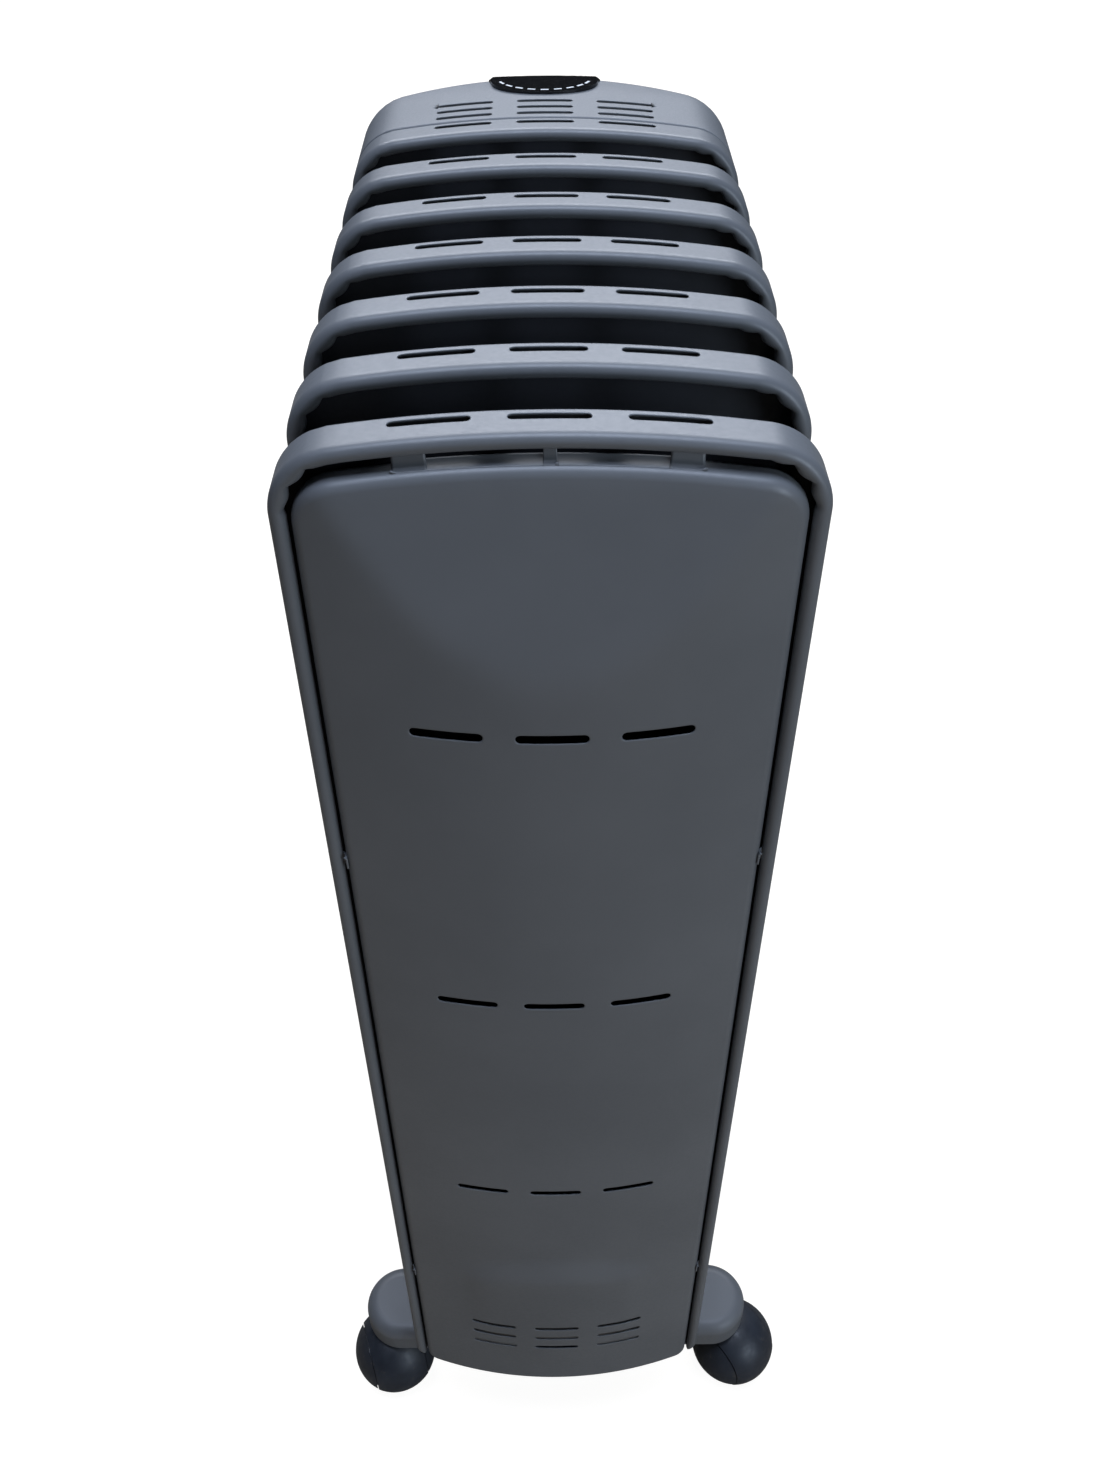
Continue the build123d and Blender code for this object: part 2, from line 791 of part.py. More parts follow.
def u_bolt(y):
    """Bent rod over the lower collar, down through the foot bar."""
    x = bolt_leg_x()
    low = bar_bottom - bolt_tail
    bend = ThreePointArc((-x, y, lower_hub_z), (0, y, lower_hub_z + x), (x, y, lower_hub_z))
    path = Wire([Line((-x, y, low), (-x, y, lower_hub_z)), bend,
                 Line((x, y, lower_hub_z), (x, y, low))])
    return sweep(Plane((-x, y, low), z_dir=(0, 0, 1)) * Circle(bolt_radius), path=path)


def wing_nut(x, y):
    """Wing nut under the foot bar."""
    top = bar_bottom
    nut = rod((x, y, top - nut_height), (x, y, top), nut_radius)
    for side in (-1, 1):
        ends = sorted((x + side * (nut_radius - sheet), x + side * (nut_radius + wing_length)))
        wing = block(ends, (y - wing_thickness / 2, y + wing_thickness / 2),
                     (top - wing_setback - wing_height, top - wing_setback))
        nut += wing
    return nut - rod((x, y, top - 2 * nut_height), (x, y, top + sheet), bolt_radius + fit)


def castor_hood():
    """Ball-shaped hood with a thick core that holds the stem and the axle."""
    ball = Sphere(hood_radius)
    shell = ball - Sphere(hood_radius - hood_wall)
    reach = 2 * hood_radius
    shell &= block((-hood_half_width, hood_half_width), (-reach, reach), (-hood_skirt, reach))
    core = Sphere(hood_radius - hood_wall / 2)
    core &= block((-core_half_width, core_half_width), (-reach, reach), (-core_drop, reach))
    neck_top = hood_radius + hood_to_bar - seat
    neck = rod((0, castor_trail, hood_radius / 2), (0, castor_trail, neck_top), neck_radius)
    neck -= Sphere(hood_radius - hood_wall)
    hood = shell + core + neck
    hood -= rod((0, castor_trail, neck_top - stem_grip), (0, castor_trail, reach),
                stem_radius + fit)
    return hood - rod((-reach, 0, 0), (reach, 0, 0), axle_radius + fit)


def castor_wheel():
    """Half-ball wheel on the +X side: tread under the hood, domed side outside it."""
    under = hood_half_width - wheel_gap
    outside = hood_half_width + wheel_gap
    middle = (wheel_inner + under) / 2
    tread_mid = sqrt(tread_radius**2 - middle**2)
    tread_out = sqrt(tread_radius**2 - under**2)
    lip = sqrt(hood_radius**2 - outside**2) - wheel_lip_inset
    dome_rise = wheel_half_width - outside
    dome_radius = (dome_rise**2 + lip**2) / (2 * dome_rise)
    dome_x = wheel_half_width - dome_radius * (1 - cos(radians(wheel_dome)))
    dome_y = dome_radius * sin(radians(wheel_dome))
    dish = wheel_inner + wheel_dish
    rim = wheel_radius - wheel_rim
    bore = axle_radius + running
    bore_end = axle_reach + seat
    section = make_face([
        Line((wheel_half_width, 0), (bore_end, 0)),
        Line((bore_end, 0), (bore_end, bore)),
        Line((bore_end, bore), (wheel_inner, bore)),
        Line((wheel_inner, bore), (wheel_inner, wheel_hub_radius)),
        Line((wheel_inner, wheel_hub_radius), (dish, wheel_hub_radius)),
        Line((dish, wheel_hub_radius), (dish, rim)),
        Line((dish, rim), (wheel_inner, rim)),
        Line((wheel_inner, rim), (wheel_inner, wheel_radius)),
        ThreePointArc((wheel_inner, wheel_radius), (middle, tread_mid), (under, tread_out)),
        Line((under, tread_out), (outside, tread_out)),
        Line((outside, tread_out), (outside, lip)),
        ThreePointArc((outside, lip), (dome_x, dome_y), (wheel_half_width, 0)),
    ])
    return revolve(section, Axis.X)


def castor_stem():
    """Stem pressed into the hood, turning in the foot bar's boss."""
    neck_top = hood_radius + hood_to_bar - seat
    top = hood_radius + hood_to_bar + stem_reach()
    return rod((0, castor_trail, neck_top - stem_grip + seat), (0, castor_trail, top), stem_radius)


def castor_axle():
    """Axle through the hood's core, carrying both wheels."""
    return rod((-axle_reach, 0, 0), (axle_reach, 0, 0), axle_radius)


def build_fins():
    for index in range(fin_count):
        save(f"fin_{index + 1}", fin(index))
    gaps = range(fin_count - 1)
    save("upper_collars", *[collar(index, upper_hub_z) for index in gaps])
    save("lower_collars", *[collar(index, lower_hub_z) for index in gaps])
    save("filler_plug", filler_plug())
    save("end_cover", end_cover())


def build_controls():
    save("heat_shield", heat_shield())
    save("control_housing", control_housing())
    save("control_fascia", control_fascia())
    save("thermostat_body", thermostat_body())
    save("thermostat_shaft", thermostat_shaft())
    save("thermostat_knob", thermostat_knob())
    save("switch_bodies", *[switch_body(x) for x in switch_x()])
    for name, x in zip(("rocker_low", "rocker_high"), switch_x()):
        save(name, rocker(x))
    save("terminal_block", terminal_block())
    save("thermal_cutout", thermal_cutout())
    save("cord_gland", cord_gland())


def build_element():
    save("heating_elements", element_tube(-1), element_tube(1))
    save("element_flange", element_flange())
    save("element_terminals", *element_terminals())


def build_feet():
    bar_ys = (fin_front(0) + plate_middle + fin_pitch / 2,
              fin_front(fin_count - 2) + plate_middle + fin_pitch / 2)
    save("foot_bar_front", foot_bar(bar_ys[0]))
    save("foot_bar_rear", foot_bar(bar_ys[1]))
    save("u_bolts", *[u_bolt(y) for y in bar_ys])
    legs = [(side * bolt_leg_x(), y) for y in bar_ys for side in (-1, 1)]
    save("wing_nuts", *[wing_nut(x, y) for x, y in legs])
    pieces = {"stem": castor_stem(), "hood": castor_hood(), "axle": castor_axle()}
    wheel = castor_wheel()
    left_turn, right_turn = near_castor_turns
    turns = {"front": (left_turn, right_turn), "rear": (-right_turn, -left_turn)}
    for end, y in zip(("front", "rear"), bar_ys):
        for side, x, turn in zip(("left", "right"), (-castor_x, castor_x), turns[end]):
            place = Pos(x, y, ball_z) * Rot(0, 0, turn) * Pos(0, -castor_trail, 0)
            for kind, piece in pieces.items():
                save(f"castor_{end}_{side}_{kind}", place * piece)
            turned = Rot(0, 0, 180) * wheel
            outer, inner = (wheel, turned) if side == "right" else (turned, wheel)
            save(f"castor_{end}_{side}_wheel_outer", place * outer)
            save(f"castor_{end}_{side}_wheel_inner", place * inner)


build_fins()
build_controls()
build_element()
build_feet()
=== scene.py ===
import json
import math

import bmesh
import bpy
import numpy as np
from mathutils import Matrix, Vector


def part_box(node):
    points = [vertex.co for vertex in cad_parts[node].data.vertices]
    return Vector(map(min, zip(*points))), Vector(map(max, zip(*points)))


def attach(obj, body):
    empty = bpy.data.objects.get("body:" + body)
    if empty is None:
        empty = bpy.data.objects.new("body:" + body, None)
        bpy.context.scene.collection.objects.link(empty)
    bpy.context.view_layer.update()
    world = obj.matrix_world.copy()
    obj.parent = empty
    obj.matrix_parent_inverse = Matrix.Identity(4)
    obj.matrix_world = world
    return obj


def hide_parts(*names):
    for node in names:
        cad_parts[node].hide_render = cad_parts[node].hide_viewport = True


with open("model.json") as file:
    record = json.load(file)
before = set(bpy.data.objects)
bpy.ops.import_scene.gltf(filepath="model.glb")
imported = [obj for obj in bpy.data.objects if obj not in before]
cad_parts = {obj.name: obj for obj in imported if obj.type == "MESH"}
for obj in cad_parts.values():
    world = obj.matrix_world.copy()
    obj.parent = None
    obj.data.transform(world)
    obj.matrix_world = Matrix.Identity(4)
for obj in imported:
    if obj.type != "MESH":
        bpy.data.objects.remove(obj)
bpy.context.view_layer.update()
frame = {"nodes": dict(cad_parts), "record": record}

# Lengths are millimetres until a mesh is made, where they become metres.
mm = 0.001
slack = 1e-3  # mm by which places that should meet may differ


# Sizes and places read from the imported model

def boxOf(node):
    # lowest and highest corner of a node, in millimetres
    low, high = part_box(node)
    return np.array(low) / mm, np.array(high) / mm


def middleOf(node):
    low, high = boxOf(node)
    return (low + high) / 2


finCount = 7
finHalf, _, finTop = boxOf("fin_1")[1]
finFronts = [boxOf(f"fin_{i + 1}")[0][1] for i in range(finCount)]
coverLow, coverHigh = boxOf("end_cover")
housingLow, housingHigh = boxOf("control_housing")
finFoot = housingLow[2]  # the housing's foot is level with the fins' feet
knobMiddle = middleOf("thermostat_knob")

slotPlan = dict(length=23.7, height=3.2, pitch=33.7)  # one slot, and the step between slots
slotMiddles = (-slotPlan["pitch"], 0.0, slotPlan["pitch"])
# A slot's lip turns in by deep. Shares of deep are its depth where it starts and how far its end
# leans out over the slot. rings are shares of the way from the slot to the edge of its cells.
slotLip = dict(deep=0.35, start=0.15, over=0.55, rings=(0.45, 0.12))
# The grid round a slot, on a narrow flange and on a wide face: the border left round the slot, and
# the spacing of the lines along it and across it
rimGrid = dict(border=1.2, across=1.1)
faceGrid = dict(border=2.2, along=1.6, across=1.05)
finPlan = dict(half=finHalf, top=finTop, foot=finFoot, arch=435.0, corner=22.0, footCorner=12.0)


# Mesh making

sheetFinish = dict(weld=0.01, edgeSegments=2, edgeAngle=40.0)


def makePiece(name, points, faces, body, slot, finish=None, replaced=()):
    # puts points (mm) and faces into a mesh, a face being a row of point numbers, -1 for none;
    # without a finish the piece takes its slot's
    rows = [[int(k) for k in row if k >= 0] for row in faces]
    mesh = bpy.data.meshes.new(name)
    mesh.from_pydata((np.asarray(points) * mm).tolist(), [], rows)
    mesh.shade_smooth()
    mesh.validate()
    obj = bpy.data.objects.new(name, mesh)
    bpy.context.scene.collection.objects.link(obj)
    obj.data.materials.append(finish or slotFinish[slot])
    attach(obj, body)
    if replaced:
        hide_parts(*replaced)
    return obj


def gridFaces(nu, nv, closed=False, flip=False):
    # quads of a grid whose points run v fastest; closed joins the last row of u to the first, and
    # flip turns the quads over
    u = np.arange(nu if closed else nu - 1)[:, None]
    v = np.arange(nv - 1)[None, :]
    a = u * nv + v
    b = ((u + 1) % nu) * nv + v
    quads = np.stack([a, b, b + 1, a + 1], -1).reshape(-1, 4)
    return quads[:, ::-1] if flip else quads


def joined(*surfaces):
    # one list of points and one of faces from several surfaces
    points, faces, count = [], [], 0
    for p, f in surfaces:
        p, f = np.asarray(p, float).reshape(-1, 3), np.asarray(f)
        points.append(p)
        faces.append(np.where(f >= 0, f + count, -1))
        count += len(p)
    wide = max(f.shape[1] for f in faces)
    faces = [np.pad(f, ((0, 0), (0, wide - f.shape[1])), constant_values=-1) for f in faces]
    return np.concatenate(points), np.concatenate(faces)


def finishMesh(obj, thick=0.0, offset=-1.0, bevel=0.0):
    # welds doubles and drops slivers, then gives the sheet its wall and a broken edge
    bm = bmesh.new()
    bm.from_mesh(obj.data)
    weld = sheetFinish["weld"] * mm
    bmesh.ops.remove_doubles(bm, verts=bm.verts, dist=weld)
    bmesh.ops.dissolve_degenerate(bm, edges=bm.edges, dist=weld / 10)
    bm.to_mesh(obj.data)
    bm.free()
    obj.data.shade_smooth()
    if thick:
        wall = obj.modifiers.new("wall", "SOLIDIFY")
        wall.thickness = thick * mm
        wall.offset = offset
        wall.use_even_offset = False
        wall.use_quality_normals = True
    if bevel:
        edge = obj.modifiers.new("edge", "BEVEL")
        edge.width = bevel * mm
        edge.segments = sheetFinish["edgeSegments"]
        edge.limit_method = "ANGLE"
        edge.angle_limit = math.radians(sheetFinish["edgeAngle"])
        edge.harden_normals = True


def linesThrough(low, high, step, marks=()):
    # evenly stepped values that also pass exactly through each mark
    inside = {round(m, 6) for m in marks if low < m < high}
    stops = sorted({round(low, 6), round(high, 6)} | inside)
    out = [stops[0]]
    for a, b in zip(stops[:-1], stops[1:]):
        n = max(1, int(math.ceil((b - a) / step - 1e-6)))
        out.extend(np.linspace(a, b, n + 1)[1:])
    return np.array(out)


def slotMarks(middle, span, border, step):
    # lines on both sides of a slot, close together, for the cells that the slot takes up
    reach = span / 2 + border
    n = max(2, int(round(2 * reach / step)))
    return list(np.linspace(middle - reach, middle + reach, n + 1))


def slottedSheet(plan, slots, border):
    # plan is a grid of flat positions. Each slot takes out a block of cells, border wider than
    # itself, and fills it with rings that run from the block's edge to the slot's rounded outline,
    # where the sheet turns inwards.
    nu, nv = plan.shape[:2]
    points = [plan.reshape(-1, 2)]
    depths = [np.zeros(nu * nv)]
    taken = np.zeros((nu - 1, nv - 1), bool)
    extra, count = [], nu * nv
    for middle, length, height in slots:
        middle = np.asarray(middle)
        near = plan - middle
        inside = ((np.abs(near[..., 0]) < length / 2 + border + slack)
                  & (np.abs(near[..., 1]) < height / 2 + border + border / 2))
        cols = np.where(inside.any(1))[0]
        mid = (cols[0] + cols[-1]) // 2
        rows = np.where(np.abs(near[mid, :, 1]) < height / 2 + border + slack)[0]
        i0, i1, j0, j1 = cols[0], cols[-1], rows[0], rows[-1]
        taken[i0:i1, j0:j1] = True
        loop = ([(i, j0) for i in range(i0, i1)] + [(i1, j) for j in range(j0, j1)]
                + [(i, j1) for i in range(i1, i0, -1)] + [(i0, j) for j in range(j1, j0, -1)])
        loop = np.array(loop)
        outer = plan[loop[:, 0], loop[:, 1]]
        half = (length - height) / 2
        core = middle + np.stack([np.clip(outer[:, 0] - middle[0], -half, half),
                                  np.zeros(len(outer))], -1)
        away = outer - core
        away /= np.linalg.norm(away, axis=1)[:, None]
        rim = core + away * height / 2
        # two rings on the flat, one where the sheet starts to turn in and one at the turned end
        deep = slotLip["deep"]
        rings = [(rim + (outer - rim) * share, 0.0) for share in slotLip["rings"]]
        rings += [(rim, slotLip["start"] * deep), (rim - away * deep * slotLip["over"], deep)]
        n = len(outer)
        previous = loop[:, 0] * nv + loop[:, 1]
        for ring, depth in rings:
            points.append(ring)
            depths.append(np.full(n, depth))
            current = count + np.arange(n)
            count += n
            following = np.roll(np.arange(n), -1)
            extra.append(np.stack([previous, previous[following],
                                   current[following], current], -1))
            previous = current
    u, v = np.meshgrid(np.arange(nu - 1), np.arange(nv - 1), indexing="ij")
    a = u * nv + v
    quads = np.stack([a, a + nv, a + nv + 1, a + 1], -1)[~taken]
    return np.concatenate(points), np.concatenate(depths), np.concatenate([quads] + extra)


def softMax(a, b, blend):
    # the larger of two heights, rounded over where they cross
    h = np.maximum(blend - np.abs(a - b), 0) / blend
    return np.maximum(a, b) + h * h * blend / 4


def smoothStep(value, low, high):
    # rises from 0 at low to 1 at high, level at both ends
    t = np.clip((value - low) / (high - low), 0, 1)
    return t * t * (3 - 2 * t)


# Outlines: straight and round runs joined end to end

def bow(x, radius):
    # fall of a circle's edge below its top, at a distance x from the middle
    return radius - np.sqrt(np.maximum(radius**2 - np.asarray(x, float)**2, 0))


def finRuns(wrap):
    # right half of a fin's outline, clockwise from the crown: arch, corner, side and the foot
    # corner's first wrap radians, each a length and a radius, which is 0 for straight
    arch, corner, foot = finPlan["arch"], finPlan["corner"], finPlan["footCorner"]
    lean = math.asin((finHalf - corner) / (arch - corner))
    cornerZ = finTop - arch + (arch - corner) * math.cos(lean)
    return [(arch * lean, arch), (corner * (math.pi / 2 - lean), corner),
            (cornerZ - finFoot - foot, 0.0), (foot * wrap, foot)]


def runGain(run, radius, turned):
    # heading, and x and z gained, at a distance run along a stretch that starts at heading turned
    if not radius:
        return turned + 0 * run, run * math.cos(turned), -run * math.sin(turned)
    heading = turned + run / radius
    return (heading, radius * (np.sin(heading) - math.sin(turned)),
            radius * (np.cos(heading) - math.cos(turned)))


def alongOutline(s, runs):
    # place and outward direction at each distance s along the runs from a fin's crown, mirrored
    # for negative s; each run takes over where it begins
    side, s = np.sign(s) + (s == 0), np.abs(s)
    place, turned, begun = np.array([0.0, finTop]), 0.0, 0.0
    x, z, angle = np.zeros((3, len(s)))
    for length, radius in runs:
        here = s >= begun - 1e-9
        heading, gainX, gainZ = runGain(s - begun, radius, turned)
        x, z = np.where(here, place[0] + gainX, x), np.where(here, place[1] + gainZ, z)
        angle = np.where(here, heading, angle)
        turned, gainX, gainZ = runGain(length, radius, turned)
        place, begun = place + (gainX, gainZ), begun + length
    return np.stack([side * x, z], -1), np.stack([side * np.sin(angle), np.cos(angle)], -1)


# Colours and material nodes

def linear(code):
    # sRGB hex to linear colour
    parts = [int(code[i:i + 2], 16) / 255 for i in (1, 3, 5)]
    return tuple(c / 12.92 if c <= 0.04045 else ((c + 0.055) / 1.055) ** 2.4
                 for c in parts) + (1.0,)


def addNode(tree, kind, settings=(), links=()):
    # one node: settings in small letters are its properties and the rest its socket values,
    # and links feed its sockets
    node = tree.nodes.new("ShaderNode" + kind)
    for key, value in dict(settings).items():
        if isinstance(key, str) and key[0].islower():
            setattr(node, key, value)
        else:
            node.inputs[key].default_value = value
    for key, source in dict(links).items():
        tree.links.new(source, node.inputs[key])
    return node


def newMaterial(name, shader):
    # a material with a Principled shader at the given socket values
    material = bpy.data.materials.new(name)
    material.use_nodes = True
    tree = material.node_tree
    tree.nodes.clear()
    surface = addNode(tree, "BsdfPrincipled", shader)
    addNode(tree, "OutputMaterial", {"name": "result"}, {"Surface": surface.outputs[0]})
    return material


def layOver(material, colour, mask):
    # lays a colour over a material's base colour where mask is 1
    tree = material.node_tree
    base = tree.nodes["Principled BSDF"].inputs["Base Color"]
    mixed = addNode(tree, "Mix", {"data_type": "RGBA", 7: linear(colour)},
                    {0: mask, 6: base.links[0].from_socket})
    tree.links.new(mixed.outputs[2], base)


def skinMaterial(name, look, shader):
    # A solid skin, coated or moulded. Its tone drifts between two colours over look["cloud"] mm,
    # and grains look["grain"] mm across move its roughness and stand look["height"] mm proud.
    material = newMaterial(name, shader)
    tree = material.node_tree
    surface = tree.nodes["Principled BSDF"]
    place = addNode(tree, "TexCoord").outputs["Object"]
    stretched = addNode(tree, "Mapping", {"Scale": look.get("stretch", (1, 1, 1))},
                        {"Vector": place})
    cloud = addNode(tree, "TexNoise", {"Scale": 1 / (look["cloud"] * mm), "Detail": 3.0},
                    {"Vector": place})
    drift = addNode(tree, "MapRange", {"From Min": 0.35, "From Max": 0.65},
                    {"Value": cloud.outputs[0]})
    tone = addNode(tree, "Mix", {"data_type": "RGBA", 6: linear(look["low"]),
                                 7: linear(look["high"])}, {0: drift.outputs[0]})
    grain = addNode(tree, "TexNoise", {"Scale": 1 / (look["grain"] * mm), "Detail": 2.0},
                    {"Vector": stretched.outputs[0]})
    shine = addNode(tree, "MapRange", {"From Min": 0.3, "From Max": 0.7, "To Min": look["rough"][0],
                                       "To Max": look["rough"][1]}, {"Value": grain.outputs[0]})
    relief = addNode(tree, "Bump", {"Strength": 0.6, "Distance": look["height"] * mm},
                     {"Height": grain.outputs[0]})
    tree.links.new(tone.outputs[2], surface.inputs["Base Color"])
    tree.links.new(shine.outputs[0], surface.inputs["Roughness"])
    tree.links.new(relief.outputs[0], surface.inputs["Normal"])
    return material


def powderCoat():
    # Polyester powder coat over pressed steel, sprayed and baked: an even satin grey skin with a
    # fine orange peel, drawn a little coarse so that it shows, and a trace of cloudiness.
    look = dict(low="#66696D", high="#6C6F73", cloud=70.0, grain=1.6, height=0.012,
                rough=(0.36, 0.44))
    return skinMaterial("powderCoatedSteel", look, {"IOR": 1.5})


def plateCoatPaintedShade():
    # The same powder coat, painted darker as shade for the plates deep between the fins, where
    # little light reaches; the real plates carry the same coat as the rims.
    look = dict(low="#2C2E33", high="#32343A", cloud=60.0, grain=1.6, height=0.012,
                rough=(0.5, 0.6))
    return skinMaterial("plateCoatPaintedShade", look, {"IOR": 1.5})


def mouldedGrey():
    # Grey ABS, injection moulded in a spark-eroded tool: a fine even texture, slightly softer in
    # its shine than the coated steel beside it.
    look = dict(low="#65686C", high="#6B6E72", cloud=60.0, grain=0.7, height=0.02,
                rough=(0.42, 0.52))
    return skinMaterial("mouldedGreyAbs", look, {"IOR": 1.53})


def polishedBlack():
    # Black ABS from a polished tool: a mirror-like skin with faint hairline rubs from wiping.
    look = dict(low="#08090B", high="#0C0D10", cloud=25.0, grain=0.8, height=0.001,
                rough=(0.05, 0.12), stretch=(1, 1, 0.15))
    return skinMaterial("polishedBlackAbs", look, {"IOR": 1.53})


def texturedBlack():
    # Black nylon, moulded with a fine texture, for the knob and the switch frames.
    look = dict(low="#121316", high="#1B1C20", cloud=12.0, grain=0.5, height=0.03,
                rough=(0.38, 0.52))
    return skinMaterial("texturedBlackNylon", look, {"IOR": 1.53})


def castorNylon():
    # Black polyamide, moulded half gloss, with a dusty bloom and brownish scuffs from use.
    look = dict(low="#22262E", high="#2B3039", cloud=14.0, grain=4.0, height=0.02,
                rough=(0.40, 0.55), scuff="#4A463F", scuffSize=7.0)
    material = skinMaterial("castorPolyamide", look, {"IOR": 1.53})
    tree = material.node_tree
    place = tree.nodes["Texture Coordinate"].outputs["Object"]
    patch = addNode(tree, "TexNoise", {"Scale": 1 / (look["scuffSize"] * mm), "Detail": 4.0,
                                       "Roughness": 0.6}, {"Vector": place})
    worn = addNode(tree, "MapRange", {"From Min": 0.6, "From Max": 0.7, "To Max": 0.5},
                   {"Value": patch.outputs[0]})
    layOver(material, look["scuff"], worn.outputs[0])
    return material


def lampRed():
    # Tinted polycarbonate of a lit rocker: clear red, polished, with a soft inner bloom.
    look = dict(low="#7E100E", high="#9A1713", cloud=4.0, grain=1.0, height=0.001,
                rough=(0.12, 0.2))
    return skinMaterial("tintedPolycarbonate", look, {"IOR": 1.585})


def zincPlate():
    # Bright zinc plated steel, rolled and cut: pale metal with a faint spangle and drawn lines.
    look = dict(low="#A6A9AC", high="#C2C4C6", cloud=3.0, grain=0.4, height=0.004,
                rough=(0.24, 0.42), stretch=(1, 1, 0.1))
    return skinMaterial("zincPlatedSteel", look, {"Metallic": 1.0})


def brassBlade():
    # Pressed brass terminal blades, slightly dulled by air.
    look = dict(low="#A98B4A", high="#C5A763", cloud=2.0, grain=0.4, height=0.004,
                rough=(0.26, 0.38))
    return skinMaterial("pressedBrass", look, {"Metallic": 1.0})


def whiteNylon():
    # Natural white nylon of a terminal block, faintly grained.
    look = dict(low="#CFCFC8", high="#DADAD4", cloud=8.0, grain=0.8, height=0.02,
                rough=(0.45, 0.55))
    return skinMaterial("naturalNylon", look, {"IOR": 1.53})


def blackRubber():
    # Moulded rubber bushing: matt, nearly black, with a powdery grain.
    look = dict(low="#0F0F10", high="#19191A", cloud=5.0, grain=0.6, height=0.03,
                rough=(0.7, 0.8))
    return skinMaterial("mouldedRubber", look, {"IOR": 1.52})


def printedWhite():
    # White pad-printed ink on the black fascia, thin and slightly uneven.
    look = dict(low="#C9CBCE", high="#DFE1E3", cloud=1.5, grain=0.4, height=0.003,
                rough=(0.4, 0.5))
    return skinMaterial("padPrintedInk", look, {"IOR": 1.5})


printing = dict(colour="#D4D6D9", ringWidth=0.2)  # the ring's width is a share of its radius


def inked(finish, middle, marks):
    # A moulded finish with printed marks about a node's middle (mm). A mark's place and half size
    # are mm from the middle in X, Y and Z: a bar fills its box, a ring follows its ellipse in X
    # and Z.
    material = finish.copy()
    tree = material.node_tree
    place = tree.nodes["Texture Coordinate"].outputs["Object"]
    for kind, offset, half in marks:
        spot = Vector((np.array(middle) + offset) * mm)
        local = addNode(tree, "Mapping", {"vector_type": "TEXTURE", "Location": spot,
                                          "Scale": Vector(half) * mm}, {"Vector": place}).outputs[0]
        if kind == "ring":
            away = addNode(tree, "VectorMath", {"operation": "LENGTH"}, {0: local}).outputs["Value"]
            mask = addNode(tree, "Math", {"operation": "COMPARE", 1: 1.0,
                                          2: printing["ringWidth"]}, {0: away})
        else:
            size = addNode(tree, "VectorMath", {"operation": "ABSOLUTE"}, {0: local}).outputs[0]
            parts = addNode(tree, "SeparateXYZ", (), {0: size}).outputs
            flat = addNode(tree, "Math", {"operation": "MAXIMUM"}, {0: parts[0], 1: parts[1]})
            far = addNode(tree, "Math", {"operation": "MAXIMUM"},
                          {0: flat.outputs[0], 1: parts[2]})
            mask = addNode(tree, "Math", {"operation": "LESS_THAN", 1: 1.0}, {0: far.outputs[0]})
        layOver(material, printing["colour"], mask.outputs[0])
    return material


slotFinish = {"grey_enamel": powderCoat(), "grey_plastic": mouldedGrey(),
              "gloss_black": polishedBlack(), "black_plastic": texturedBlack(),
              "castor_black": castorNylon(), "rocker_red": lampRed(), "zinc_steel": zincPlate(),
              "brass_blade": brassBlade(), "white_plastic": whiteNylon(),
              "black_rubber": blackRubber()}
# the plates' darker coat is painted shade for the gaps between the fins; the ink is printing
plateShadeCoat, ink = plateCoatPaintedShade(), printedWhite()
print("materials ready")


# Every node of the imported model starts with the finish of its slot

nodeSlot = {row["node"]: row["material_slot"] for row in frame["record"]["subparts"]}
for nodeName, nodeObject in frame["nodes"].items():
    nodeObject.data.materials.clear()
    nodeObject.data.materials.append(slotFinish[nodeSlot[nodeName]])

# The knob's pointer is a printed line along its finger bar, and each rocker has a bar and a ring
# for on and off. A mark is its kind, its place and its half size. The ring's great half size in Y
# makes it a tube, so that only X and Z count.
knobMarks = [("bar", (12.5, 8.0, 0.0), (3.6, 4.0, 0.6))]
rockerMarks = [("bar", (0.0, 0.0, 4.6), (0.45, 20.0, 1.6)),
               ("ring", (0.0, 0.0, -4.6), (1.5, 900.0, 1.5))]
for nodeName, marks in (("thermostat_knob", knobMarks), ("rocker_low", rockerMarks),
                        ("rocker_high", rockerMarks)):
    finish = slotFinish[nodeSlot[nodeName]]
    frame["nodes"][nodeName].data.materials[0] = inked(finish, middleOf(nodeName), marks)
print("nodes painted", len(frame["nodes"]))


# Fins

# wrap, footFrom and footTo are angles round the foot corner. The tongue's depth and height at its
# tip are shares of the rim's, and a wrinkle's reach, fade and level are shares too.
fin = dict(sheet=0.9, depth=15.4, roll=2.6, rollDeep=3.1, bend=1.4, slotBack=10.9,
           wrap=math.radians(68), tongue=2.5, step=6.0, slotStep=1.6, slotMargin=2.4,
           tuck=(3.2, 2.2), lipTail=0.5, depthStep=1.4, bendLines=6, rollLines=17,
           cornerLines=33, footLines=24, footSeat=3.0, footFrom=math.radians(48),
           footTo=math.radians(57), thinnest=0.02, tongueDeep=0.25, tongueTall=0.15,
           wrinkle=1.5, wrinkleCount=3, wrinkleShift=2.0, wrinkleReach=1.35, wrinkleFade=0.7,
           wrinkleLevel=0.7, plateStep=3.4, plateGap=1.0, rise=3.5, channel=18.0,
           channelCorner=14.0, span=46.0, slope=3.0, hub=25.0, hubUp=62.0, hubDown=52.0)


def rimProfile():
    # a fin's rim from its plate to the end of its rolled lip: depth from the front, and height
    # above the outline; the flat top is left to the slotted sheet
    roll, bend, depth = fin["roll"], fin["bend"], fin["depth"]
    a = np.linspace(0, np.pi / 2, fin["bendLines"])
    rear = np.stack([depth - bend + bend * np.cos(a), -bend + bend * np.sin(a)], -1)
    rear = np.concatenate([[[depth, -down] for down in fin["tuck"]], rear])
    b = np.linspace(0, np.pi, fin["rollLines"])
    deep = fin["rollDeep"]
    front = np.stack([deep - deep * np.sin(b), -roll + roll * np.cos(b)], -1)
    front = np.concatenate([front, [[deep + fin["lipTail"], -2 * roll]]])
    return rear, front


